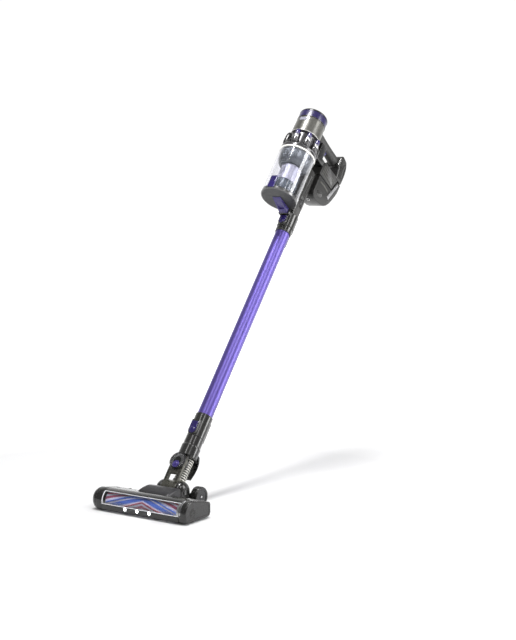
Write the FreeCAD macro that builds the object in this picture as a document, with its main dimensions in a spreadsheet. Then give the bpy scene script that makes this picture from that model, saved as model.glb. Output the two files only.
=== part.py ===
"""Cordless stick vacuum: floor head, swivelling neck, tube wand and hand unit with a cyclone dust cup.

World frame: X across the floor head, -Y the way it is pushed, +Z up, origin on the floor under the
middle of the sole's felt strip.  Everything above the floor head is modelled in the stick frame, whose
origin is the middle of the pitch axis, whose Z runs up the wand and whose -Y is the front.
"""
import FreeCAD
import Part
import math
import os
import re
import Sketcher

SIZES = {
    # stance
    "lean": 38.5, "pivot_back": 57, "pivot_height": 39.5, "gap": 0.3, "shaft_gap": 0.06,
    # floor head
    "head_width": 264, "head_front": 67.6, "head_rear": 29, "shell": 2.5, "sole_clear": 3,
    "brush_back": 39, "brush_height": 22.5, "brush_r": 21.8, "core_r": 13.5, "brush_shaft": 4,
    "window_r": 28.6, "window_wall": 1.8, "window_low": 7, "window_sweep": 65, "cap_width": 20,
    "deck_fall": 43, "tail_height": 36, "lip_height": 18.6, "lip_depth": 6,
    "motor_r": 12.5, "motor_length": 62, "motor_back": 12, "motor_height": 20.5,
    "drive_pulley_r": 5.2, "brush_pulley_r": 11, "belt_wall": 1.2, "belt_width": 7,
    "led_r": 3.8, "led_pitch": 35.5, "led_offset": -7, "led_height": 13.6,
    "bearing_r": 16, "drive_bulge": 15,
    "hump_half": 46, "hump_front": 24, "hump_top": 56,
    "dome_r": 25, "dome_half": 40, "drum_half": 21, "trunnion_r": 5,
    "wheel_r": 24, "wheel_width": 19, "wheel_back": 15, "wheel_out": 57, "tyre_wall": 3.5, "axle_r": 3,
    # neck
    "steer_height": 66, "knob_r": 22, "steer_r": 4, "arm_in": 11, "arm_wide": 9, "neck_r": 22,
    "neck_top": 141, "neck_bore": 15.5, "bellows_r": 15, "spigot_length": 30, "tongue": 8,
    # wand
    "wand_r": 19, "wand_wall": 1.2, "wand_low": 202, "wand_high": 750, "sleeve_r": 21.6, "joint_r": 18.4,
    "socket_low": 16, "socket_top": 55, "socket_r": 23, "tube_grip": 26, "button_wide": 19,
    # dust cup
    "cup_back": -71.3, "cup_r": 48.7, "cup_wall": 2, "lid_low": 57, "lid_thick": 9, "ring_high": 200,
    "ring_thick": 5, "shroud_low": 155, "mesh_r": 27, "mesh_low": 108, "lid_hinge_front": -28, "lid_hinge_drop": 10,
    "hinge_r": 4.2,
    "duct_half": 15, "tab_wide": 18.5, "tab_high": 37, "strap_wide": 24, "strap_length": 50,
    # motor unit
    "collar_high": 263, "body_r": 39.5, "body_top_r": 38.3, "body_high": 305, "cap_high": 329, "cap_dome": 8,
    "body_wall": 2.4, "cone_r": 7.5, "cone_pitch": 45, "cone_ring": 41.5,
    # handle
    "grip_mid": 303, "grip_r": 14.5, "grip_end": 78, "handle_half": 23, "dock_high": 258, "dock_low": 212,
    "dock_front": 18, "dock_rear": 100, "pack_low": 144, "pack_end": 119, "foot_end": 121, "port_back": 42,
    "lock_r": 7, "pin_r": 1.6, "cell_r": 9.2, "cell_length": 65,
}
# heights in the hand unit are given above the top of the wand
for height in (
    "socket_low", "socket_top", "lid_low", "ring_high", "shroud_low", "mesh_low", "collar_high", "body_high",
    "cap_high", "grip_mid", "dock_high", "dock_low", "pack_low",
):
    SIZES[height] += SIZES["wand_high"]
# the wheels stand clear behind the pivot, whatever their radius
SIZES["wheel_back"] += SIZES["pivot_back"] + SIZES["wheel_r"]

doc = FreeCAD.newDocument("stick_vacuum")
sheet = doc.addObject("Spreadsheet::Sheet", "dim")
for row, (alias, value) in enumerate(SIZES.items(), start=1):
    sheet.set(f"A{row}", alias)
    sheet.set(f"B{row}", str(value))
    sheet.setAlias(f"B{row}", alias)
doc.recompute()

parts = []
AXES = {"x": FreeCAD.Vector(1, 0, 0), "y": FreeCAD.Vector(0, 1, 0), "z": FreeCAD.Vector(0, 0, 1)}
TURN = {
    "x": FreeCAD.Rotation(AXES["y"], 90), "y": FreeCAD.Rotation(AXES["x"], -90), "z": FreeCAD.Rotation(),
    "-y": FreeCAD.Rotation(AXES["x"], 90),
}


def bound(text):
    """An expression in which every size name points at its cell of the sheet."""
    return re.sub(r"[a-z_]+[a-z]", lambda word: f"dim.{word[0]}" if word[0] in SIZES else word[0], str(text))


def value(text):
    """The number that an expression gives now."""
    result = sheet.evalExpression(bound(text))
    return getattr(result, "Value", result)


def put(item, at):
    """Ties an object's position to three expressions."""
    for axis, text in zip("xyz", at):
        item.setExpression(f"Placement.Base.{axis}", bound(text))
    return item


def box(low, high):
    item = put(doc.addObject("Part::Box", "block"), low)
    for side, start, end in zip(("Length", "Width", "Height"), low, high):
        item.setExpression(side, bound(f"({end}) - ({start})"))
    return item


def rod(radius, length, at, axis="z", top_radius=None, sweep=None):
    """A cylinder, or a cone where a second radius is given, from a point along an axis."""
    kind = "Part::Cylinder" if top_radius is None else "Part::Cone"
    item = doc.addObject(kind, "rod")
    item.Placement.Rotation = TURN[axis]
    put(item, at)
    item.setExpression("Radius" if top_radius is None else "Radius1", bound(radius))
    item.setExpression("Height", bound(length))
    if top_radius is not None:
        item.setExpression("Radius2", bound(top_radius))
    if sweep is not None:
        item.setExpression("Angle", bound(sweep))
    return item


def tube(outer, inner, length, at, axis="z"):
    return minus(rod(outer, length, at, axis), rod(inner, length, at, axis))


def minus(base, *tools):
    for tool in tools:
        cut = doc.addObject("Part::Cut", "cut")
        cut.Base = base
        cut.Tool = tool
        base = cut
    return base


def plus(*items):
    joined = doc.addObject("Part::MultiFuse", "joined")
    joined.Shapes = list(items)
    joined.Refine = True
    return joined


def common(first, second):
    both = doc.addObject("Part::Common", "both")
    both.Base = first
    both.Tool = second
    return both


def group(*items):
    """Separate solids that share one node."""
    held = doc.addObject("Part::Compound", "group")
    held.Links = list(items)
    return held


def outline(body, points, plane):
    """A closed sketch whose corners sit at pairs of expressions on one of the body's own planes."""
    sketch = body.newObject("Sketcher::SketchObject", "outline")
    flat = next(item for item in body.Origin.OriginFeatures if item.Role == plane)
    sketch.AttachmentSupport = (flat, [""])
    sketch.MapMode = "FlatFace"
    places = [FreeCAD.Vector(value(u), value(v), 0) for u, v in points]
    count = len(places)
    for index, place in enumerate(places):
        sketch.addGeometry(Part.LineSegment(place, places[(index + 1) % count]))
    for index in range(count):
        sketch.addConstraint(Sketcher.Constraint("Coincident", index, 2, (index + 1) % count, 1))
    for index, (place, pair) in enumerate(zip(places, points)):
        for kind, number, text in (("DistanceX", place.x, pair[0]), ("DistanceY", place.y, pair[1])):
            name = sketch.addConstraint(Sketcher.Constraint(kind, index, 1, number))
            sketch.setExpression(f"Constraints[{name}]", bound(text))
    return sketch


def lathe(points, at=("0", "0", "0"), axis="z"):
    """A turned piece: a closed outline of (radius, height) pairs swept round its own Z."""
    body = doc.addObject("PartDesign::Body", "turned")
    sketch = outline(body, points, "XZ_Plane")
    turned = body.newObject("PartDesign::Revolution", "turn")
    turned.Profile = sketch
    turned.ReferenceAxis = (sketch, ["V_Axis"])
    turned.Angle = 360
    sketch.Visibility = False
    body.Placement.Rotation = TURN[axis]
    return put(body, at)


def slab(points, low, high, rounding=None):
    """A plate cut to a (y, z) outline, from x = low to x = high, its long edges rounded if asked."""
    body = doc.addObject("PartDesign::Body", "plate")
    sketch = outline(body, points, "YZ_Plane")
    sketch.setExpression("AttachmentOffset.Base.z", bound(low))
    pad = body.newObject("PartDesign::Pad", "pad")
    pad.Profile = sketch
    pad.setExpression("Length", bound(f"({high}) - ({low})"))
    sketch.Visibility = False
    if rounding is not None:
        doc.recompute()
        along = [
            f"Edge{number}" for number, edge in enumerate(pad.Shape.Edges, start=1)
            if abs(edge.tangentAt(edge.FirstParameter).x) > 0.99
        ]
        soft = body.newObject("PartDesign::Fillet", "soft_edges")
        soft.Base = (pad, along)
        soft.setExpression("Radius", bound(rounding))
    return body


def arc_points(y, z, radius, first, last, steps):
    """Corners on an arc about (y, z), from one angle to another, as expression pairs."""
    angles = [first + (last - first) * step / steps for step in range(steps + 1)]
    return [
        (f"{y} + ({radius}) * {math.cos(math.radians(angle)):.5f}", f"{z} + ({radius}) * {math.sin(math.radians(angle)):.5f}")
        for angle in angles
    ]


def name_part(item, label, stick=False):
    """Labels a sub-part and, above the floor head, sets it in the leaning stick frame."""
    if stick:
        item = group(item)
        item.Placement.Rotation = FreeCAD.Rotation(FreeCAD.Vector(-1, 0, 0), SIZES["lean"])
        item.setExpression("Placement.Rotation.Angle", "dim.lean")
        put(item, ("0", "pivot_back", "pivot_height"))
    item.Label = label
    parts.append(item)


def both_sides(make):
    """The same piece built for the left, where the sign is -1, and for the right."""
    for side, sign in (("left", "-1"), ("right", "1")):
        make(side, sign)


def side_box(sign, inner, outer, low, high):
    """A block between two distances from the middle plane, on one side of it."""
    near, far = (inner, outer) if sign == "1" else (f"-({outer})", f"-({inner})")
    return box((near, *low), (far, *high))


# ---------------------------------------------------------------- floor head
BODY_HALF = "(head_width / 2 - cap_width)"
BRUSH = ("-brush_back", "brush_height")
window_top = 180 + SIZES["window_low"] - SIZES["window_sweep"]


def housing_arc(radius, first, last, steps=8):
    return arc_points(*BRUSH, radius, first, last, steps)


def sole_plate():
    tray = box((f"-{BODY_HALF}", "-head_front", "sole_clear"), (BODY_HALF, "head_rear", "lip_height"))
    hollow = box(
        (f"-{BODY_HALF} - 1", "-head_front + lip_depth", "sole_clear + shell"),
        (f"{BODY_HALF} + 1", "head_rear - shell", "lip_height + 1"),
    )
    mouth = box(
        (f"-{BODY_HALF} + 3", "-head_front + lip_depth", "0"),
        (f"{BODY_HALF} - 3", "-brush_back + brush_r + 1", "sole_clear + shell + 1"),
    )
    seats = [lens(place, "led_r + 0.1", "lip_depth + 2", "-head_front + lip_depth + 1") for place in (-1, 0, 1)]
    name_part(minus(tray, hollow, mouth, *seats), "sole_plate")
    name_part(box((f"-{BODY_HALF} + 6", "-4", "0"), (f"{BODY_HALF} - 6", "4", "sole_clear")), "felt_strip")


def lens(place, radius, length, start):
    return rod(radius, length, (f"led_offset + ({place}) * led_pitch", start, "led_height"), "-y")


def headlights():
    lenses = [lens(place, "led_r", "3", "-head_front + 3") for place in (-1, 0, 1)]
    name_part(group(*lenses), "headlight_lenses")


def deck_top(drop):
    """The deck's line from the window's upper edge to the tail, lowered by a wall."""
    return housing_arc(f"window_r - {drop}", window_top - 1, 88) + [
        ("4", f"deck_fall - {drop}"), (f"head_rear - {drop}", f"tail_height - {drop}"),
    ]


def rear_deck():
    outer = deck_top("0") + [("head_rear", "lip_height + 0.1")]
    inner = [("head_rear - shell", "lip_height + 0.1")] + list(reversed(deck_top("shell")))
    name_part(slab(outer + inner, f"-{BODY_HALF}", BODY_HALF), "rear_deck")


def brush_window():
    outer = housing_arc("window_r", 180 + SIZES["window_low"], window_top, 12)
    inner = housing_arc("window_r - window_wall", window_top, 180 + SIZES["window_low"], 12)
    name_part(slab(outer + inner, f"-{BODY_HALF}", BODY_HALF), "brush_window")


def end_cap(side, sign):
    profile = housing_arc("window_r", 186, 88, 12) + [
        ("4", "deck_fall + 0.5"), ("head_rear - 5", "tail_height + 1"), ("head_rear", "tail_height - 5"),
        ("head_rear", "sole_clear + 10"), ("head_rear - 8", "sole_clear"), ("-head_front + 5", "sole_clear"),
    ]
    edges = (BODY_HALF, "head_width / 2") if sign == "1" else ("-head_width / 2", f"-{BODY_HALF}")
    cap = slab(profile, *edges)
    inner, outer = f"{BODY_HALF} - 1", "head_width / 2 - 4"
    start = inner if sign == "1" else f"-({outer})"
    depth = f"({outer}) - ({inner})"
    round_pocket = rod("bearing_r + 0.1", depth, (start, *BRUSH), "x")
    back_pocket = side_box(sign, inner, outer, ("-brush_back", "8"), ("head_rear - shell", "tail_height - 4"))
    belt_pocket = side_box(sign, inner, outer, ("-brush_back", "8"), ("4", "brush_height + brush_pulley_r + 2"))
    cuts = [round_pocket, back_pocket, belt_pocket]
    if sign == "1":
        cuts.append(rod("lock_r + 0.1", "6", ("head_width / 2 - 5", *BRUSH), "x"))
    shell = minus(cap, *cuts)
    if sign == "-1":
        bulge = rod("window_r - 10", "drive_bulge", ("-head_width / 2 - drive_bulge", *BRUSH), "x", "window_r - 1")
        above = box(("-head_width", "-head_front", "sole_clear"), ("0", "head_rear", "100"))
        shell = plus(shell, common(bulge, above))
    name_part(shell, f"end_cap_{side}")


def brush_bearings():
    places = ("-head_width / 2 + 4.1", "head_width / 2 - 10.1")
    rings = [tube("bearing_r", "brush_shaft + shaft_gap", "3", (place, *BRUSH), "x") for place in places]
    name_part(group(*rings), "brush_bearings")


def brush_lock():
    disc = rod("lock_r", "4.8", ("head_width / 2 - 4.9", *BRUSH), "x")
    slot = box(
        ("head_width / 2 - 1", "-brush_back - 4.5", "brush_height - 0.9"),
        ("head_width / 2 + 1", "-brush_back + 4.5", "brush_height + 0.9"),
    )
    name_part(minus(disc, slot), "brush_lock")


def brush_roll():
    length = f"2 * {BODY_HALF} - 6"
    start = f"-{BODY_HALF} + 3"
    core = tube("core_r", "core_r - 2.5", length, (start, *BRUSH), "x")
    ends = [rod("core_r - 2.4", "4", (place, *BRUSH), "x") for place in (start, f"{BODY_HALF} - 7")]
    name_part(tube("brush_r - 3", "core_r + 0.02", length, (start, *BRUSH), "x"), "brush_fabric")
    shafts = [
        rod("brush_shaft", "cap_width - 1.2", ("-head_width / 2 + 4.2", *BRUSH), "x"),
        rod("brush_shaft", "cap_width - 7.2", (f"{BODY_HALF} - 3", *BRUSH), "x"),
    ]
    pulley = rod("brush_pulley_r", "belt_width", (f"-{BODY_HALF} - 10", *BRUSH), "x")
    name_part(plus(core, *ends, *shafts, pulley), "brush_core")


def bristle_rows():
    """Rows that stand out of the fabric: a bar swept along a helix from mid-length, mirrored into a V."""
    reach = value(f"{BODY_HALF} - 6")
    root = value("brush_r - 2.98")
    pitch = 400
    rows = []
    for number in range(6):
        path = Part.makeHelix(pitch, reach, root)
        bar = Part.makePolygon([
            FreeCAD.Vector(root, -2, 0), FreeCAD.Vector(value("brush_r"), -2, 0),
            FreeCAD.Vector(value("brush_r"), 2, 0), FreeCAD.Vector(root, 2, 0), FreeCAD.Vector(root, -2, 0),
        ])
        row = Part.Wire(path.Edges).makePipeShell([bar], True, True)
        row = row if row.ShapeType == "Solid" else Part.makeSolid(row)
        row = row.fuse(row.mirror(FreeCAD.Vector(), AXES["z"])).removeSplitter()
        row.rotate(FreeCAD.Vector(), AXES["z"], number * 60)
        rows += row.Solids
    strips = doc.addObject("Part::Feature", "rows")
    strips.Shape = Part.makeCompound(rows)
    strips.Placement = FreeCAD.Placement(FreeCAD.Vector(0, value(BRUSH[0]), value(BRUSH[1])), TURN["x"])
    name_part(strips, "bristle_rows")


def brush_drive():
    axis_at = ("motor_back", "motor_height")
    name_part(rod("motor_r", "motor_length", (f"-{BODY_HALF} + 4", *axis_at), "x"), "brush_motor")
    shaft = rod("2", "15", (f"-{BODY_HALF} - 11.5", *axis_at), "x")
    pulley = rod("drive_pulley_r", "belt_width", (f"-{BODY_HALF} - 10", *axis_at), "x")
    name_part(plus(shaft, pulley), "drive_pulley")
    lean = math.degrees(math.asin(
        value("brush_pulley_r - drive_pulley_r") / value("motor_back + brush_back")))
    def loop(extra):
        big = arc_points(*BRUSH, f"brush_pulley_r + {extra}", 90 - lean, 270 + lean, 14)
        small = arc_points(*axis_at, f"drive_pulley_r + {extra}", -90 + lean, 90 - lean, 10)
        return slab(big + small, f"-{BODY_HALF} - 10", f"-{BODY_HALF} - 10 + belt_width")
    name_part(minus(loop("0.1 + belt_wall"), loop("0.25")), "drive_belt")


def hump_cover():
    """Wedge-shaped cover before the pivot, steep at the front; it stops short of the yoke."""
    def wedge(drop, half):
        line = [
            ("-hump_front + {0}", "deck_fall - 14"), ("-hump_front + {0}", "hump_top - 12.4 - {0}"),
            ("-hump_front + 5", "hump_top - 8 - {0}"), ("-hump_front + 13", "hump_top - 4.6 - {0}"),
            ("0", "hump_top - 1.8 - {0}"), ("14", "hump_top - 0.2 - {0}"), ("23", "hump_top - {0}"),
            ("29 - {0}", "hump_top - 1.6 - {0}"), ("31 - {0}", "hump_top - 4.6 - {0}"), ("31 - {0}", "30"),
        ]
        return slab([(y.format(drop), z.format(drop)) for y, z in line], f"-({half})", half)
    below = slab(
        [("-head_front", "-40")] + deck_top("-0.05")[1:] + [("head_rear + 60", "tail_height + 0.05"),
        ("head_rear + 60", "-40")], "-head_width", "head_width")
    seat = rod("dome_r + 1.2", "head_width", ("-head_width / 2", "pivot_back", "pivot_height"), "x")
    cover = minus(wedge("0", "hump_half"), wedge("shell", "hump_half - shell"), below, seat)
    name_part(cover, "hump_cover")


def pivot_housing(sign):
    """Domed end of the pivot barrel with the foot that joins it to the deck and the wheel's arm."""
    points = [("trunnion_r + shaft_gap", "drum_half + gap")]
    span = "(dome_half - drum_half - gap)"
    points += [
        (f"dome_r * {math.sqrt(1 - (step / 6) ** 2 * 0.72):.4f}", f"drum_half + gap + {span} * {step / 6:.4f}")
        for step in range(7)
    ]
    points += [("trunnion_r + shaft_gap", "dome_half")]
    if sign == "-1":
        points = [(radius, f"-({height})") for radius, height in points]
    dome = lathe(points, ("0", "pivot_back", "pivot_height"), "x")
    foot = side_box(sign, "drum_half + 3", "dome_half - 3", ("head_rear + 0.1", "10"), ("pivot_back - 12", "tail_height - 3"))
    arm = side_box(
        sign, "dome_half - 10", "dome_half - 2.5", ("pivot_back", "wheel_r - 8"), ("wheel_back + 7", "wheel_r + 7"))
    start = "dome_half - 9" if sign == "1" else "-wheel_out + 3"
    axle = rod("axle_r", "wheel_out - dome_half + 6", (start, "wheel_back", "wheel_r"), "x")
    swept = rod("trunnion_r + shaft_gap", "2 * dome_half + 2", ("-dome_half - 1", "pivot_back", "pivot_height"), "x")
    return minus(plus(dome, foot, arm, axle), swept)


def wheel(side, sign):
    near = "wheel_out - wheel_width"
    start = near if sign == "1" else "-wheel_out"
    at = (start, "wheel_back", "wheel_r")
    hub = tube("wheel_r - tyre_wall", "axle_r + shaft_gap", "wheel_width", at, "x")
    dish = rod("wheel_r - tyre_wall - 3", "2.5", ("wheel_out - 2" if sign == "1" else "-wheel_out - 0.5", "wheel_back", "wheel_r"), "x")
    tyre = tube("wheel_r", "wheel_r - tyre_wall + 0.02", "wheel_width", at, "x")
    name_part(group(minus(hub, dish), tyre), f"wheel_{side}")


sole_plate()
headlights()
rear_deck()
brush_window()
both_sides(end_cap)
brush_bearings()
brush_lock()
brush_roll()
bristle_rows()
brush_drive()
hump_cover()
name_part(group(pivot_housing("-1"), pivot_housing("1")), "pivot_housing")
both_sides(wheel)


# ---------------------------------------------------------------- neck
def neck_lower():
    drum = rod("dome_r - 0.4", "2 * drum_half", ("-drum_half", "0", "0"), "x")
    cuff = rod("bellows_r + 1", "30", ("0", "8.5", "0"))
    hub = rod("knob_r - 1", "8", ("0", "-24", "steer_height"), "y")
    def arm(sign):
        return side_box(sign, "arm_in", "arm_in + arm_wide", ("-24", "10"), ("-16", "steer_height"))
    web = box(("-arm_in", "-24", "34"), ("arm_in", "-16", "steer_height"))
    duct = rod("bellows_r - 3", "40", ("0", "8.5", "8"))
    pin_bore = rod("trunnion_r + 0.02", "2 * drum_half + 2", ("-drum_half - 1", "0", "0"), "x")
    steer_bore = rod("steer_r", "10", ("0", "-25", "steer_height"), "y")
    yoke = minus(plus(drum, cuff, hub, arm("-1"), arm("1"), web), duct, pin_bore, steer_bore)
    name_part(yoke, "neck_yoke", stick=True)
    trunnion = rod("trunnion_r", "2 * dome_half - 4", ("-dome_half + 2", "0", "0"), "x")
    steering = rod("steer_r", "18.2", ("0", "-26", "steer_height"), "y")
    name_part(group(trunnion, steering), "neck_pins", stick=True)
    blank = rod("knob_r", "4.8", ("0", "-24.2 - 4.8", "steer_height"), "y")
    pocket = rod("steer_r + 0.5", "3", ("0", "-27", "steer_height"), "y")
    disc = rod("9", "2", ("0", "-31.1", "steer_height - 10"), "y")
    name_part(group(minus(blank, pocket), disc), "knob_cover", stick=True)
    ribs = [("bellows_r - 3", "30.2")]
    for number in range(9):
        ribs += [("bellows_r - 1.8", f"30.2 + {number} * 5.8"), ("bellows_r", f"33.1 + {number} * 5.8")]
    ribs += [("bellows_r - 1.8", "82.4"), ("bellows_r - 3", "82.4")]
    name_part(lathe(ribs, ("0", "8.5", "0")), "neck_bellows", stick=True)


def neck_upper():
    barrel = lathe([
        ("neck_bore", "steer_height + knob_r"), ("neck_r + 1.5", "steer_height + knob_r"), ("neck_r + 1.5", "116"), ("neck_r - 0.2", "118"),
        ("neck_r - 0.2", "neck_top"), ("joint_r", "neck_top"), ("joint_r", "neck_top + spigot_length"),
        ("neck_bore", "neck_top + spigot_length"),
    ])
    tongue = plus(
        rod("knob_r - 2", "tongue - 0.6", ("0", "-15.7", "steer_height"), "y"),
        box(("-14", "-15.7", "steer_height"), ("14", "-15.7 + tongue - 0.6", "steer_height + knob_r + 3")),
    )
    bore = rod("steer_r + shaft_gap", "20", ("0", "-26", "steer_height"), "y")
    name_part(minus(plus(barrel, tongue), bore), "neck_tube", stick=True)
    back = slab([
        ("neck_r - 1", "106"), ("neck_r + 8", "104"), ("36.5", "93"), ("38", "78"), ("36", "60"), ("31.5", "45"),
        ("29", "45.5"), ("33", "61"), ("35", "78"), ("33", "91"), ("neck_r + 4", "99"), ("neck_r + 1.7", "99"),
        ("neck_r + 1.7", "103"),
    ], "-14", "14")
    name_part(minus(back, rod("neck_r + 1.6", "40", ("0", "0", "80"))), "neck_rear_shell", stick=True)


neck_lower()
neck_upper()


# ---------------------------------------------------------------- wand
def button_boss(face, low, high):
    return box(("-button_wide / 2 - 2.5", f"-({face})", f"{low} - 2"), ("button_wide / 2 + 2.5", "-10", f"{high} + 2.5"))


def button_pocket(face, low, high):
    return box(
        ("-button_wide / 2 - gap", f"-({face}) - 1", f"{low} - gap"),
        ("button_wide / 2 + gap", f"-({face}) + 4.1", f"{high} + gap"))


def press_button(face, low, high, label):
    """A push button that stands proud of its boss."""
    key = slab([
        (f"-({face}) - 1.6", f"{low} + 1"), (f"-({face}) + 0.8", low), (f"-({face}) + 0.8", high),
        (f"-({face}) - 1.6", f"{high} - 1"),
    ], "-button_wide / 2", "button_wide / 2")
    name_part(key, label, stick=True)


def wand():
    low = "neck_top + 0.3"
    face = "sleeve_r + 2.4"
    outside = rod("sleeve_r", "wand_low - neck_top - 0.3", ("0", "0", low))
    inside = rod("joint_r + 0.15", "34", ("0", "0", "neck_top"))
    seat = rod("wand_r + 0.01", "60", ("0", "0", "wand_low - tube_grip"))
    lower = plus(outside, button_boss(face, "neck_top + 3", "neck_top + 35"))
    clear = rod("neck_bore", "80", ("0", "0", "neck_top"))
    name_part(
        minus(lower, inside, seat, clear, button_pocket(face, "neck_top + 3", "neck_top + 35")),
        "wand_lower_sleeve", stick=True)
    press_button(face, "neck_top + 3", "neck_top + 35", "head_release_button")
    pipe = tube("wand_r", "wand_r - wand_wall", "wand_high - wand_low + 2 * tube_grip - 14",
                ("0", "0", "wand_low - tube_grip + 0.2"))
    name_part(pipe, "wand_tube", stick=True)
    cuff = minus(
        rod("sleeve_r", "socket_low - wand_high - 0.3", ("0", "0", "wand_high")),
        rod("wand_r + 0.01", "14", ("0", "0", "wand_high - 1")))
    spigot = rod("joint_r", "spigot_length", ("0", "0", "socket_low - 1"))
    bore = rod("neck_bore", "80", ("0", "0", "wand_high - 1"))
    name_part(minus(plus(cuff, spigot), bore), "wand_upper_sleeve", stick=True)
    lower_rib = box(("-8", "sleeve_r - 1.2", "neck_top + 0.3"), ("8", "sleeve_r + 7", "wand_low - 6"))
    upper_rib = box(("-7", "wand_r", "wand_high - 28"), ("7", "sleeve_r + 4", "socket_low - 2"))
    ribs = [
        minus(rib, rod("sleeve_r + 0.15", "120", ("0", "0", start)))
        for rib, start in ((lower_rib, "neck_top - 20"), (upper_rib, "wand_high - 40"))
    ]
    name_part(group(*ribs), "wand_contact_ribs", stick=True)


wand()


# ---------------------------------------------------------------- hand unit
CUP = ("0", "cup_back")


def inlet():
    face = "socket_r + 2.2"
    low, high = "socket_low + 2.5", "socket_low + 25"
    outside = rod("socket_r", "socket_top - socket_low", ("0", "0", "socket_low"))
    collar = rod("joint_r + 0.15", "spigot_length", ("0", "0", "socket_low - 1"))
    through = rod("neck_bore", "80", ("0", "0", "socket_low"))
    rib = box(("-8", "socket_r - 3", "socket_low + 0.3"), ("8", "socket_r + 6", "socket_top"))
    ears = [
        side_box(sign, "strap_wide / 2 + gap", "strap_wide / 2 + 4", ("-32", "lid_low - 14"), ("-17", "lid_low - 4"))
        for sign in ("-1", "1")
    ]
    bore = rod("pin_r", "60", ("-30", "lid_hinge_front", "lid_low - lid_hinge_drop"), "x")
    block = plus(outside, button_boss(face, low, high), rib, *ears)
    name_part(
        minus(block, collar, through, button_pocket(face, low, high), bore), "inlet_socket", stick=True)
    press_button(face, low, high, "wand_release_button")
    pin = rod("pin_r", "strap_wide + 8", ("-strap_wide / 2 - 4", "lid_hinge_front", "lid_low - lid_hinge_drop"), "x")
    name_part(pin, "lid_hinge_pin", stick=True)
    duct = minus(
        box(("-duct_half", "-14.8", "socket_top + 0.2"), ("duct_half", "16", "ring_high + 6")),
        box(("-duct_half + 2.4", "-12.4", "socket_top - 5"), ("duct_half - 2.4", "13.6", "ring_high + 12")))
    name_part(duct, "spine_duct", stick=True)


def cyclone():
    collar = lathe([
        ("30", "ring_high"), ("cup_r + 0.2", "ring_high"), ("cup_r + 0.2", "ring_high + 7"),
        ("cone_ring - 5.5", "ring_high + 12"), ("cone_ring - 8", "ring_high + 13"),
        ("cone_ring - 8", "collar_high - 9"), ("body_r", "collar_high - 6"), ("body_r", "collar_high"),
        ("30", "collar_high"),
    ], (*CUP, "0"))
    name_part(minus(collar, box(("-duct_half - gap", "-20", "ring_high - 50"), ("duct_half + gap", "60", "ring_high + 6.3"))),
              "cyclone_collar", stick=True)
    def around(radius, top_radius, low, high):
        rods = []
        for number in range(7):
            angle = math.radians(-84 + (number - 3) * SIZES["cone_pitch"])
            at = (f"cone_ring * {math.cos(angle):.5f}", f"cup_back + cone_ring * {math.sin(angle):.5f}", low)
            rods.append(rod(radius, f"({high}) - ({low})", at, "z", top_radius))
        return group(*rods)
    bodies = around("cone_r", "cone_r - 1.6", "ring_high + 13.2", "ring_high + 36")
    tips = around("cone_r - 2", "cone_r - 3", "ring_high + 36.1", "ring_high + 50")
    name_part(group(bodies, tips), "cyclone_cones", stick=True)


def dust_cup():
    wall = tube("cup_r", "cup_r - cup_wall", "ring_high - ring_thick - lid_low - lid_thick - 0.3",
                (*CUP, "lid_low + lid_thick + 0.2"))
    name_part(wall, "cup_wall", stick=True)
    ring = tube("cup_r + 0.8", "cup_r - 9", "ring_thick - 0.4", (*CUP, "ring_high - ring_thick + 0.1"))
    name_part(ring, "seal_ring", stick=True)
    shroud = lathe([
        ("cup_r - 4", "ring_high - ring_thick"), ("cup_r - 5", "ring_high - 22"), ("cup_r - 10", "shroud_low + 10"),
        ("mesh_r + 4", "shroud_low"), ("mesh_r", "shroud_low"), ("mesh_r", "shroud_low + 2"),
        ("mesh_r + 3", "shroud_low + 2.2"), ("cup_r - 12", "shroud_low + 12"), ("cup_r - 7", "ring_high - 22"),
        ("cup_r - 6", "ring_high - ring_thick"),
    ], (*CUP, "0"))
    mesh = tube("mesh_r", "mesh_r - 1.2", "shroud_low - mesh_low - 0.1", (*CUP, "mesh_low"))
    name_part(group(shroud, mesh), "cyclone_shroud", stick=True)
    base = tube("mesh_r + 1.5", "mesh_r - 1", "mesh_low - lid_low - lid_thick - 1", (*CUP, "lid_low + lid_thick + 0.6"))
    half_room = "(cup_r - cup_wall - mesh_r - 1.5) / 2"
    chute = tube(f"{half_room} - 1.1", f"{half_room} - 2.3", "55",
                 ("0", f"cup_back + mesh_r + 1.5 + {half_room}", "lid_low + lid_thick + 30"))
    name_part(group(base, chute), "dust_tubes", stick=True)


def cup_lid():
    plate = rod("cup_r", "lid_thick - 3", (*CUP, "lid_low"))
    lip = tube("cup_r", "cup_r - 2", "lid_thick", (*CUP, "lid_low"))
    name_part(plus(plate, lip), "cup_lid", stick=True)
    strap = slab([
        ("-32.4 - strap_length", "lid_low - 0.1"), ("-32.4 - strap_length", "lid_low - 1.5"),
        ("-38", "lid_low - 11.6"), ("-33", "lid_low - 13.4"), ("-32.4", "lid_low - 13.4"), ("-32.4", "lid_low - 0.1"),
    ], "-strap_wide / 2", "strap_wide / 2")
    knuckle = plus(
        strap, rod("hinge_r", "strap_wide", ("-strap_wide / 2", "lid_hinge_front", "lid_low - lid_hinge_drop"), "x"),
        box(("-strap_wide / 2", "-32.3", "lid_low - lid_hinge_drop"), ("strap_wide / 2", "-26", "lid_low - 0.1")))
    bore = rod("pin_r + shaft_gap", "60", ("-30", "lid_hinge_front", "lid_low - lid_hinge_drop"), "x")
    name_part(minus(knuckle, bore), "lid_strap", stick=True)
    front = "cup_back - cup_r"
    tab = slab([
        (f"{front} - 0.4", "lid_low + 3"), (f"{front} - 3.5", "lid_low + 2"), (f"{front} - 3.2", "lid_low + tab_high"),
        (f"{front} - 0.4", "lid_low + tab_high + 3"),
    ], "-tab_wide / 2", "tab_wide / 2")
    hug = rod("cup_r + 0.35", "80", (*CUP, "lid_low - 10"))
    name_part(minus(tab, hug), "lid_latch", stick=True)


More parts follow.
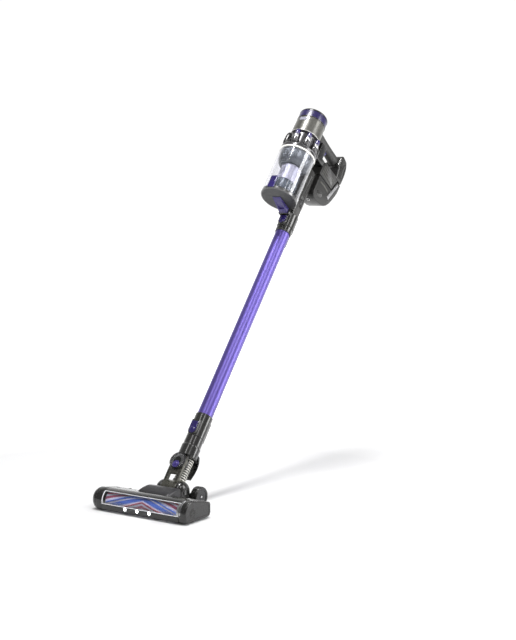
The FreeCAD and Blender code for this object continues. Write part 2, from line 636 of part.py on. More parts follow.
def motor_unit():
    shell = lathe([
        ("body_r - body_wall", "collar_high + 0.1"), ("body_r", "collar_high + 0.1"), ("body_top_r", "body_high"),
        ("body_top_r - body_wall", "body_high"),
    ], (*CUP, "0"))
    window = box(("-11", "cup_back - body_r - 1", "body_high - 14"), ("11", "cup_back - body_r + 6", "body_high - 4"))
    name_part(minus(shell, window), "motor_housing", stick=True)
    glass = box(("-10.8", "cup_back - body_top_r - 0.4", "body_high - 13.8"), ("10.8", "cup_back - body_top_r + 1.2", "body_high - 4.2"))
    name_part(glass, "display_window", stick=True)
    can = tube("24", "2 + shaft_gap", "28", (*CUP, "collar_high + 11"))
    name_part(can, "motor_can", stick=True)
    wheel_disc = plus(rod("28", "5", (*CUP, "collar_high + 4"), "z", "16"), rod("2", "38", (*CUP, "collar_high + 2")))
    name_part(wheel_disc, "impeller", stick=True)


def filter_cap():
    cap = lathe([
        ("body_top_r - 3", "body_high + 0.3"), ("body_top_r", "body_high + 0.3"), ("body_top_r", "cap_high"),
        ("body_top_r - 3", "cap_high + 4"), ("body_top_r - 12", "cap_high + cap_dome - 1.5"), ("0", "cap_high + cap_dome"),
        ("0", "cap_high + cap_dome - 3"), ("body_top_r - 13", "cap_high + cap_dome - 4.5"),
        ("body_top_r - 5", "cap_high + 1.5"), ("body_top_r - 3", "cap_high - 2"),
    ], (*CUP, "0"))
    name_part(cap, "filter_cap", stick=True)
    pleats = tube("body_top_r - 4", "22", "cap_high - body_high - 2", (*CUP, "body_high + 0.5"))
    name_part(pleats, "exhaust_filter", stick=True)


def handle():
    start = "cup_back + body_r + 0.6"
    length = f"grip_end - ({start})"
    def half(sign):
        pipe = tube("grip_r", "grip_r - shell", length, ("0", start, "grip_mid"), "y")
        slot = box(("-6.4", "7.5", "grip_mid - 20"), ("6.4", "31", "grip_mid"))
        keep = side_box(sign, "0.02", "30", (start, "grip_mid - 30"), ("grip_end", "grip_mid + 30"))
        return minus(common(pipe, keep), slot)
    both_sides(lambda side, sign: name_part(half(sign), f"grip_{side}", stick=True))
    key = slab([
        ("8", "grip_mid - 11"), ("8.5", "grip_mid - 19"), ("14", "grip_mid - 23"), ("22", "grip_mid - 24"),
        ("29", "grip_mid - 20"), ("30.5", "grip_mid - 11"),
    ], "-6", "6")
    name_part(key, "trigger", stick=True)


def foot_line():
    return [
        ("grip_end + 0.1", "grip_mid - grip_r"), ("grip_end + 0.1", "grip_mid + grip_r"), ("grip_end + 6", "cap_high - 3"),
        ("foot_end - 14", "cap_high - 7"), ("foot_end - 4", "grip_mid + 5"), ("foot_end", "grip_mid - 21"),
        ("foot_end - 1", "dock_high - 4.5"), ("dock_rear - 12", "dock_high - 4.5"),
        ("dock_rear - 12", "dock_high + 8"), ("grip_end + 6", "dock_high + 26"),
    ]


def rear_unit():
    foot = slab(foot_line(), "-handle_half", "handle_half", "4")
    name_part(foot, "foot_shell", stick=True)
    dock = slab([
        ("16.4", "dock_high - 20"), ("dock_front + 4", "dock_high - 4"), ("dock_rear - 12.2", "dock_high"),
        ("dock_rear - 12.2", "dock_high - 4.8"), ("dock_rear", "dock_high - 4.8"), ("dock_rear - 11.5", "dock_low + 3"),
        ("dock_front", "dock_low"), ("16.4", "dock_low + 4"),
    ], "-handle_half", "handle_half", "2")
    hollow = slab([
        ("24", "dock_high - 16"), ("dock_rear - 16", "dock_high - 10"), ("dock_rear - 5", "dock_high - 12"),
        ("dock_rear - 16", "dock_low + 8"), ("24", "dock_low + 6"),
    ], "-handle_half + shell", "handle_half - shell")
    riser = plus(
        box(("-handle_half + 2", "-20", "dock_high - 22"), ("handle_half - 2", "24", "dock_high - 4.5")),
        box(("-handle_half + 2", "-20", "dock_high - 10"), ("handle_half - 2", "6", "grip_mid - grip_r - 0.6")))
    name_part(minus(plus(dock, riser), hollow), "battery_dock", stick=True)
    display = box(("-14", "cup_back - 31.5", "body_high - 16"), ("14", "cup_back - 30", "body_high - 2"))
    control = box(("-16", "30", "dock_low + 8.6"), ("16", "dock_rear - 18", "dock_low + 10.2"))
    switch = box(("-5", "34", "grip_mid - 8"), ("5", "48", "grip_mid - 2"))
    name_part(group(display, control, switch), "circuit_boards", stick=True)


def pack_line(inset):
    """The pack's side outline: a quarter oval below the dock that turns up behind it."""
    edge = f"{inset}"
    return [
        (f"20 + {edge}", f"dock_low - 2 - {edge}"), (f"dock_rear - 10.7 + {edge}", f"dock_low + 0.5 - {edge}"),
        (f"dock_rear + 1.2 + {edge}", f"dock_high - 9 - {edge}"), (f"pack_end - {edge}", f"dock_high - 8 - {edge}"),
        (f"pack_end - 1 - {edge}", f"dock_low + 13 + {edge}"), (f"pack_end - 9 - {edge}", f"dock_low - 15 + {edge}"),
        (f"pack_end - 18 - {edge}", f"pack_low + 31 + {edge}"), (f"pack_end - 34 - {edge}", f"pack_low + 12 + {edge}"),
        (f"pack_end - 61 - {edge}", f"pack_low + 2.5 + {edge}"), (f"36 + {edge}", f"pack_low + {edge}"),
        (f"23 + {edge}", f"pack_low + 7 + {edge}"),
    ]


def battery_pack():
    shell = slab(pack_line("0"), "-handle_half", "handle_half", "2.5")
    hollow = slab(pack_line("3"), "-handle_half + shell", "handle_half - shell")
    grips = []
    strip = [("102.4", "dock_high - 13"), ("111", "dock_high - 15"), ("91.5", "dock_low - 30"), ("83", "dock_low - 26")]
    room = [("101.7", "dock_high - 12"), ("111.7", "dock_high - 14"), ("92.2", "dock_low - 31"), ("82.2", "dock_low - 26.8")]
    def pocket(sign):
        near, far = ("handle_half - 3.2", "handle_half + 2") if sign == "1" else ("-handle_half - 2", "-handle_half + 3.2")
        return slab(room, near, far)
    port = rod("5.1", "14", ("0", "port_back", "pack_low - 4"))
    liner = [slab(room, *edges) for edges in (("handle_half - 4.3", "handle_half"), ("-handle_half", "-handle_half + 4.3"))]
    body = plus(minus(shell, hollow), *liner)
    name_part(minus(body, pocket("1"), pocket("-1"), port), "battery_case", stick=True)
    for side, near, far in (
        ("right", "handle_half - 1.2", "handle_half + 0.8"), ("left", "-handle_half - 0.8", "-handle_half + 1.2"),
    ):
        name_part(slab(strip, near, far), f"battery_button_{side}", stick=True)
    cells = [
        rod("cell_r", "cell_length", (f"{across} * (cell_r + 0.05)", "25.3", height), "y")
        for across in (-1, 1) for height in ("dock_low - 14.5", "dock_low - 33.2")
    ]
    name_part(group(*cells), "battery_cells", stick=True)
    name_part(tube("5", "2.8", "11", ("0", "port_back", "pack_low + 0.4")), "charge_port", stick=True)


inlet()
cyclone()
dust_cup()
cup_lid()
motor_unit()
filter_cap()
handle()
rear_unit()
battery_pack()

# ---------------------------------------------------------------- check and write
doc.recompute()
broken = [item.Name for item in doc.Objects if "Invalid" in item.State or "Error" in item.State]
if broken:
    raise SystemExit(f"objects that failed: {broken}")
os.makedirs("parts", exist_ok=True)
for item in parts:
    shape = item.Shape
    if shape.isNull() or not shape.isValid() or not shape.Solids:
        raise SystemExit(f"{item.Label} has no valid solid")
for item in parts:
    item.Shape.exportStep(f"parts/{item.Label}.step")
print(len(parts), "sub-parts written")
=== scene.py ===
"""Looks of a cordless stick vacuum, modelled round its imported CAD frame.

Every piece is drawn in millimetres, either in the head frame (the row frame itself) or in the stick
frame (origin on the pitch axis, Z up the wand, -Y the front), and is moved into the row frame, in
metres, when it is finished.
"""
import math

import bmesh
import bpy
from bpy.props import FloatProperty, FloatVectorProperty, IntProperty, PointerProperty
from mathutils import Matrix, Vector


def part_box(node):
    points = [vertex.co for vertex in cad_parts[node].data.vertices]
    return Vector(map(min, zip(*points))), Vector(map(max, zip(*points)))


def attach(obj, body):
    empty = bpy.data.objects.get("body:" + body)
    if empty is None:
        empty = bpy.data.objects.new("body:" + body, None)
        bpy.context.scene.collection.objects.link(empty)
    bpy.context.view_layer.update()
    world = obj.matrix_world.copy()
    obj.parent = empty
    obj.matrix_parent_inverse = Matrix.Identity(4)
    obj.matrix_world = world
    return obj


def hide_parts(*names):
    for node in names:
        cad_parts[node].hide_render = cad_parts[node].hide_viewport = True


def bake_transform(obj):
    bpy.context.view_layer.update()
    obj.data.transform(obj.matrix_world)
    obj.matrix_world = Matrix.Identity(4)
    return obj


bl_info = {
    "name": "Stick Vacuum Builder",
    "version": (1, 0, 0),
    "blender": (4, 5, 0),
    "location": "View3D > Sidebar > Vacuum",
    "description": "Models a cordless stick vacuum piece by piece round its CAD frame",
    "category": "Add Mesh",
}

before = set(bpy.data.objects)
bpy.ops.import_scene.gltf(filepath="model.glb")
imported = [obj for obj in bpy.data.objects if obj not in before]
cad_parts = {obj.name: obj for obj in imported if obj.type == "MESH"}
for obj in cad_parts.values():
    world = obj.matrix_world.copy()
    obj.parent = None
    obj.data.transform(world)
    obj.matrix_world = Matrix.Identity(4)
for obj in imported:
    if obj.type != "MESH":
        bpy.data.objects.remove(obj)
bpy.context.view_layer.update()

MM = 0.001
FULL = 2 * math.pi
LEAN = math.radians(38.5)
PIVOT = (0, 0.057, 0.0395)
STICK = Matrix.Translation(PIVOT) @ Matrix.Rotation(-LEAN, 4, "X") @ Matrix.Scale(MM, 4)
HEAD = Matrix.Scale(MM, 4)
CUP_BACK = -71.3
BRUSH = (-39, 22.5)
CAP_EDGE = 112
STEER = 66


def half_width(node):
    """Half of a CAD node's width across the head, in metres."""
    low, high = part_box(node)
    return (high.x - low.x) / 2


# ---------------------------------------------------------------- modelling tools
def deselect():
    if bpy.context.mode != "OBJECT":
        bpy.ops.object.mode_set(mode="OBJECT")
    bpy.ops.object.select_all(action="DESELECT")


def only(obj):
    """Makes one piece the active and only selected object."""
    deselect()
    obj.select_set(True)
    bpy.context.view_layer.objects.active = obj


def apply_place(obj):
    only(obj)
    bpy.ops.object.transform_apply(location=True, rotation=True, scale=True)
    return obj


def edit(obj):
    only(obj)
    bpy.ops.object.mode_set(mode="EDIT")
    bpy.ops.mesh.select_mode(type="VERT")
    bpy.ops.mesh.select_all(action="SELECT")


def done():
    bpy.ops.object.mode_set(mode="OBJECT")


def pick(obj, test, kind="FACE"):
    """In edit mode, selects only the faces, edges or vertices that pass a test."""
    bpy.ops.mesh.select_mode(type=kind)
    bpy.ops.mesh.select_all(action="DESELECT")
    shape = bmesh.from_edit_mesh(obj.data)
    shape.normal_update()
    for item in {"FACE": shape.faces, "EDGE": shape.edges, "VERT": shape.verts}[kind]:
        if test(item):
            item.select_set(True)
    shape.select_flush_mode()
    bmesh.update_edit_mesh(obj.data)


def heal(obj, reach=0.01):
    """Merges doubles and turns every face outwards."""
    edit(obj)
    bpy.ops.mesh.remove_doubles(threshold=reach)
    bpy.ops.mesh.normals_make_consistent(inside=False)
    done()
    return obj


def with_modifier(obj, kind, **settings):
    only(obj)
    modifier = obj.modifiers.new(kind.lower(), kind)
    for name, value in settings.items():
        setattr(modifier, name, value)
    bpy.ops.object.modifier_apply(modifier=modifier.name)
    return obj


def soften(obj, width, segments=3, angle=32):
    """Rounds every edge sharper than an angle."""
    return with_modifier(
        obj, "BEVEL", width=width, segments=segments, limit_method="ANGLE", angle_limit=math.radians(angle),
        miter_outer="MITER_ARC")


def remove(obj):
    bpy.data.objects.remove(obj, do_unlink=True)


def carve(obj, *tools, keep="DIFFERENCE"):
    """Takes each tool away from a piece, or adds it, and deletes the tool."""
    for tool in tools:
        with_modifier(obj, "BOOLEAN", operation=keep, object=tool, solver="EXACT")
        remove(tool)
    return obj


def fuse(obj, *tools):
    return carve(obj, *tools, keep="UNION")


def join(*pieces):
    deselect()
    for piece in pieces:
        piece.select_set(True)
    bpy.context.view_layer.objects.active = pieces[0]
    bpy.ops.object.join()
    return pieces[0]


def copied(obj, matrix):
    """A copy with its own mesh, moved by a matrix."""
    only(obj)
    bpy.ops.object.duplicate(linked=False)
    twin = bpy.context.object
    twin.matrix_world = matrix @ twin.matrix_world
    return apply_place(twin)


def turned_copies(obj, count, at=(0, 0, 0), axis="Z", sweep=FULL, start=0.0):
    """A piece repeated round an axis, the first where it stands, as one object."""
    middle = Matrix.Translation(at)
    steps = count if abs(sweep - FULL) < 1e-6 else count - 1
    made = [
        copied(obj, middle @ Matrix.Rotation(start + sweep * index / steps, 4, axis) @ middle.inverted())
        for index in range(count)
    ]
    remove(obj)
    return join(*made)


def block(low, high, edge=0.0, segments=3):
    low, high = Vector(low), Vector(high)
    deselect()
    bpy.ops.mesh.primitive_cube_add(size=1, location=(low + high) / 2, scale=high - low)
    obj = apply_place(bpy.context.object)
    if edge:
        soften(obj, edge, segments)
    return obj


AXIS_TURN = {"X": (0, math.pi / 2, 0), "Y": (-math.pi / 2, 0, 0), "Z": (0, 0, 0)}
AXIS_STEP = {"X": Vector((1, 0, 0)), "Y": Vector((0, 1, 0)), "Z": Vector((0, 0, 1))}


def rod(radius, start, length, axis="Z", tip=None, sides=72, edge=0.0):
    """A bar, or a taper where a tip radius is given, from a point along an axis."""
    deselect()
    place = Vector(start) + AXIS_STEP[axis] * length / 2
    bpy.ops.mesh.primitive_cone_add(
        vertices=sides, radius1=radius, radius2=radius if tip is None else tip, depth=length,
        location=place, rotation=AXIS_TURN[axis])
    obj = apply_place(bpy.context.object)
    if edge:
        soften(obj, edge)
    return obj


def drawn(points):
    """A chain of edges: one vertex, extruded from point to point and back to the first."""
    deselect()
    bpy.ops.mesh.primitive_plane_add(size=1)
    obj = bpy.context.object
    edit(obj)
    bpy.ops.mesh.merge(type="CENTER")
    points = [Vector(point) for point in points]
    bpy.ops.transform.translate(value=points[0])
    for here, there in zip(points, points[1:] + points[:1]):
        bpy.ops.mesh.extrude_region_move(TRANSFORM_OT_translate={"value": there - here})
    bpy.ops.mesh.select_all(action="SELECT")
    bpy.ops.mesh.remove_doubles(threshold=0.001)
    done()
    return obj


def turned(profile, at=(0, 0, 0), axis="Z", steps=96):
    """A turned piece: a closed profile of (radius, height) pairs spun round an axis."""
    obj = drawn([(radius, 0, height) for radius, height in profile])
    edit(obj)
    bpy.ops.mesh.spin(steps=steps, angle=FULL, center=(0, 0, 0), axis=(0, 0, 1))
    done()
    heal(obj, 0.002)
    obj.rotation_euler = AXIS_TURN[axis]
    obj.location = at
    return apply_place(obj)


PLANES = {
    "yz": (lambda u, v, depth: (depth, u, v), Vector((1, 0, 0))),
    "xz": (lambda u, v, depth: (u, depth, v), Vector((0, 1, 0))),
    "xy": (lambda u, v, depth: (u, v, depth), Vector((0, 0, 1))),
}


def plate(points, low, high, plane="yz", edge=0.0, segments=3):
    """A plate cut to an outline and given its thickness from low to high."""
    place, step = PLANES[plane]
    obj = drawn([place(u, v, low) for u, v in points])
    edit(obj)
    bpy.ops.mesh.edge_face_add()
    bpy.ops.mesh.extrude_region_move(TRANSFORM_OT_translate={"value": step * (high - low)})
    done()
    heal(obj)
    if edge:
        soften(obj, edge, segments)
    return obj


def arc(u, v, radius, first, last, steps):
    """Points on an arc, the angles in degrees."""
    angles = [math.radians(first + (last - first) * step / steps) for step in range(steps + 1)]
    return [(u + radius * math.cos(angle), v + radius * math.sin(angle)) for angle in angles]


def capsule(u, v, half, low_end, high_end, steps=10):
    """Outline of an upright slot with a round lower end and a round upper end."""
    return arc(u, v + high_end - half, half, 0, 180, steps) + arc(u, v + low_end + half, half, 180, 360, steps)


def round_face(obj, test, width, segments=4):
    """Bevels only the rim of the faces that pass a test."""
    edit(obj)
    pick(obj, test)
    bpy.ops.mesh.bevel(offset=width, segments=segments, affect="EDGES", clamp_overlap=True)
    done()
    return obj


def panel(obj, test, border, depth):
    """Insets the faces that pass a test and moves the field in or out along its normal."""
    edit(obj)
    pick(obj, test)
    bpy.ops.mesh.inset(thickness=border)
    bpy.ops.mesh.extrude_region_shrink_fatten(TRANSFORM_OT_shrink_fatten={"value": depth})
    done()
    return obj


def paint(obj, finish):
    obj.data.materials.clear()
    obj.data.materials.append(bpy.data.materials[finish])
    return obj


def settle(obj, name, body, nodes=(), finish=None, stick=True, smooth=32):
    """Moves a finished piece into the row frame, names it, and hands it to its body."""
    if finish:
        paint(obj, finish)
    obj.matrix_world = (STICK if stick else HEAD) @ obj.matrix_world
    apply_place(obj)
    bpy.ops.object.shade_smooth_by_angle(angle=math.radians(smooth))
    obj.name = name
    obj.data.name = name
    if body:
        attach(obj, body)
    if nodes:
        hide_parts(*nodes)
    return obj


# ---------------------------------------------------------------- finishes
def node(tree, kind, sockets=None, **settings):
    """One shader node with its settings, each socket given a number or another node's output."""
    made = tree.nodes.new(kind)
    for name, value in settings.items():
        setattr(made, name, value)
    for name, value in (sockets or {}).items():
        socket = made.inputs[name]
        if isinstance(value, bpy.types.NodeSocket):
            tree.links.new(value, socket)
        else:
            socket.default_value = value
    return made


def blank(name, **sockets):
    """A new material and its shader, with fixed values set on the shader's own sockets."""
    material = bpy.data.materials.new(name)
    material.use_nodes = True
    shader = material.node_tree.nodes["Principled BSDF"]
    for label, value in sockets.items():
        shader.inputs[label.replace("_", " ")].default_value = value
    return material.node_tree, shader


def millimetres(tree, stick=True, stretch=(1, 1, 1), at=None):
    """Object coordinates turned into a piece's own frame, in millimetres times a stretch."""
    place = node(tree, "ShaderNodeTexCoord").outputs["Object"]
    turn = node(tree, "ShaderNodeMapping", {"Vector": place}, vector_type="TEXTURE")
    turn.inputs["Location"].default_value = at or (PIVOT if stick else (0, 0, 0))
    turn.inputs["Rotation"].default_value = (-LEAN if stick else 0, 0, 0)
    turn.inputs["Scale"].default_value = [MM / amount for amount in stretch]
    return turn.outputs["Vector"]


def noise(tree, vector, scale, detail=3.0, rough=0.55):
    return node(tree, "ShaderNodeTexNoise", {
        "Vector": vector, "Scale": scale, "Detail": detail, "Roughness": rough}).outputs["Fac"]


def spread(tree, value, low, high, start=0.3, end=0.7):
    """Maps a texture's middle range to two new values."""
    return node(tree, "ShaderNodeMapRange", {
        "Value": value, "From Min": start, "From Max": end, "To Min": low, "To Max": high}).outputs["Result"]


def two_tone(tree, factor, dark, light):
    mix = node(tree, "ShaderNodeMix", data_type="RGBA")
    mix.inputs[6].default_value = (*dark, 1)
    mix.inputs[7].default_value = (*light, 1)
    tree.links.new(factor, mix.inputs[0])
    return mix.outputs[2]


def over(tree, base, factor, color):
    """Lays a colour over another where a factor says."""
    mix = node(tree, "ShaderNodeMix", data_type="RGBA")
    mix.inputs[7].default_value = (*color, 1)
    tree.links.new(base, mix.inputs[6])
    tree.links.new(factor, mix.inputs[0])
    return mix.outputs[2]


def relief(tree, shader, height, strength, distance=0.0002):
    bump = node(tree, "ShaderNodeBump", {"Height": height, "Strength": strength, "Distance": distance})
    tree.links.new(bump.outputs["Normal"], shader.inputs["Normal"])


def shade(color, amount):
    return [min(1, part * amount) for part in color]


def moulded(name, color, rough, metal=0.0, coat=0.0, grain=1.6, bump=0.12, tone=0.14, wear=0.25, stick=True,
            stretch=(1, 1, 1), gloss_spread=0.07):
    """Moulded, painted or turned surface: tone drift, grain, handling marks in the gloss, pale worn edges."""
    tree, shader = blank(name, Metallic=metal, Coat_Weight=coat, Coat_Roughness=0.08)
    place = millimetres(tree, stick, stretch)
    drift = noise(tree, place, 0.035, 4)
    base = two_tone(tree, spread(tree, drift, 0, 1), shade(color, 1 - tone), shade(color, 1 + tone))
    if wear:
        edges = node(tree, "ShaderNodeNewGeometry").outputs["Pointiness"]
        worn = spread(tree, edges, 0, wear, 0.53, 0.62)
        patchy = node(tree, "ShaderNodeMath", {0: worn, 1: spread(tree, noise(tree, place, 0.4), 0.2, 1)},
                      operation="MULTIPLY").outputs[0]
        base = over(tree, base, patchy, shade(color, 2.2) if max(color) > 0.02 else (0.12, 0.12, 0.12))
    tree.links.new(base, shader.inputs["Base Color"])
    marks = noise(tree, place, 0.11, 6, 0.7)
    tree.links.new(spread(tree, marks, rough - gloss_spread, rough + gloss_spread), shader.inputs["Roughness"])
    relief(tree, shader, noise(tree, place, grain, 2), bump)
    return tree, shader


def brushed(name, color, rough, metal=1.0, along=(1, 1, 0.02), stick=True, coat=0.0, streak=0.35, tone=0.1):
    """Metal drawn or brushed one way: fine long streaks in colour, gloss and relief."""
    tree, shader = blank(name, Metallic=metal, Coat_Weight=coat, Coat_Roughness=0.1)
    streaks = noise(tree, millimetres(tree, stick, along), 3.2, 5, 0.7)
    soft = noise(tree, millimetres(tree, stick), 0.02, 3)
    base = two_tone(tree, spread(tree, streaks, 0, 1, 0.35, 0.65), shade(color, 1 - tone), shade(color, 1 + tone))
    base = over(tree, base, spread(tree, soft, 0, 0.25), shade(color, 0.8))
    tree.links.new(base, shader.inputs["Base Color"])
    tree.links.new(spread(tree, streaks, rough - 0.06, rough + 0.08), shader.inputs["Roughness"])
    relief(tree, shader, streaks, streak * 0.2, 0.00005)
    return tree, shader


def fibres(name, color, deep, scale=1.1, stick=False, bump=0.8, fuzz=0.4):
    """Felt, pile or filter paper: tangled short fibres."""
    tree, shader = blank(name, Roughness=0.95, Sheen_Weight=fuzz, Sheen_Roughness=0.5)
    place = millimetres(tree, stick)
    cells = node(tree, "ShaderNodeTexVoronoi", {"Vector": place, "Scale": scale * 1.7}).outputs["Distance"]
    tangle = noise(tree, place, scale, 6, 0.75)
    base = two_tone(tree, spread(tree, tangle, 0, 1), deep, color)
    tree.links.new(over(tree, base, spread(tree, cells, 0, 0.35, 0.2, 0.9), deep), shader.inputs["Base Color"])
    relief(tree, shader, tangle, bump, 0.0006)
    return tree, shader


def clear(name, tint, haze=0.03, stick=True, ior=1.45):
    """Clear moulded plastic with faint scuffs; lamps shine through it."""
    tree, shader = blank(name, Base_Color=(*tint, 1), Transmission_Weight=1.0, IOR=ior)
    place = millimetres(tree, stick)
    scuffs = noise(tree, place, 0.25, 7, 0.8)
    tree.links.new(spread(tree, scuffs, haze, haze + 0.05, 0.45, 0.8), shader.inputs["Roughness"])
    relief(tree, shader, noise(tree, place, 0.05, 1), 0.01, 0.0001)
    lamp = node(tree, "ShaderNodeLightPath").outputs["Is Shadow Ray"]
    through = node(tree, "ShaderNodeBsdfTransparent", {"Color": (*tint, 1)})
    both = node(tree, "ShaderNodeMixShader", {0: lamp, 1: shader.outputs[0], 2: through.outputs[0]})
    tree.links.new(both.outputs[0], tree.nodes["Material Output"].inputs["Surface"])
    return tree, shader


def perforated(name, color, rough):
    """Thin metal screen with rows of fine holes round the cup's axis."""
    tree, shader = blank(name, Metallic=0.35)
    place = millimetres(tree)
    split = node(tree, "ShaderNodeSeparateXYZ", {0: place})
    back = node(tree, "ShaderNodeMath", {0: split.outputs["Y"], 1: -CUP_BACK}, operation="ADD").outputs[0]
    angle = node(tree, "ShaderNodeMath", {0: split.outputs["X"], 1: back}, operation="ARCTAN2").outputs[0]
    around = node(tree, "ShaderNodeMath", {0: angle, 1: 27.0}, operation="MULTIPLY").outputs[0]
    flat = node(tree, "ShaderNodeCombineXYZ", {0: around, 1: split.outputs["Z"]}).outputs[0]
    dots = node(tree, "ShaderNodeTexVoronoi", {"Vector": flat, "Scale": 0.9, "Randomness": 0.0},
                voronoi_dimensions="2D").outputs["Distance"]
    hole = spread(tree, dots, 1, 0, 0.24, 0.32)
    tone = two_tone(tree, spread(tree, noise(tree, place, 0.05), 0, 1), shade(color, 0.92), shade(color, 1.06))
    tree.links.new(over(tree, tone, hole, shade(color, 0.45)), shader.inputs["Base Color"])
    tree.links.new(spread(tree, noise(tree, place, 0.3), rough - 0.05, rough + 0.05), shader.inputs["Roughness"])
    relief(tree, shader, dots, 0.35, 0.0003)
    return tree, shader


def helix_pile(name, base, blue, red):
    """Brush sleeve: pale pile with wide blue and narrow dark red bands that meet in a V at mid-length."""
    tree, shader = blank(name, Roughness=0.9, Sheen_Weight=0.5, Sheen_Roughness=0.4)
    place = millimetres(tree, stick=False, at=(0, BRUSH[0] * MM, BRUSH[1] * MM))
    split = node(tree, "ShaderNodeSeparateXYZ", {0: place})
    angle = node(tree, "ShaderNodeMath", {0: split.outputs["Z"], 1: split.outputs["Y"]}, operation="ARCTAN2")
    share = node(tree, "ShaderNodeMath", {0: angle.outputs[0], 1: 3 / FULL}, operation="MULTIPLY")
    out = node(tree, "ShaderNodeMath", {0: split.outputs["X"]}, operation="ABSOLUTE")
    along = node(tree, "ShaderNodeMath", {0: out.outputs[0], 1: 3 / 400.0}, operation="MULTIPLY")
    wave = node(tree, "ShaderNodeMath", {0: share.outputs[0], 1: along.outputs[0]}, operation="SUBTRACT")
    frayed = node(tree, "ShaderNodeMath", {
        0: wave.outputs[0], 1: spread(tree, noise(tree, place, 0.8, 5), -0.02, 0.02)}, operation="ADD")
    turn = node(tree, "ShaderNodeMath", {0: frayed.outputs[0], 1: 1.0}, operation="FLOORED_MODULO").outputs[0]
    ramp = node(tree, "ShaderNodeValToRGB", {"Fac": turn})
    stops = ramp.color_ramp.elements
    stops[0].position, stops[0].color = 0.0, (*blue, 1)
    stops[1].position, stops[1].color = 1.0, (*blue, 1)
    for position, color in ((0.11, blue), (0.14, base), (0.39, base), (0.42, red), (0.56, red), (0.59, base),
                            (0.86, base), (0.89, blue)):
        stop = stops.new(position)
        stop.color = (*color, 1)
    tufts = noise(tree, place, 1.5, 5, 0.7)
    tree.links.new(over(tree, ramp.outputs["Color"], spread(tree, tufts, 0, 0.22), (0.12, 0.1, 0.25)),
                   shader.inputs["Base Color"])
    relief(tree, shader, tufts, 0.9, 0.0006)
    return tree, shader


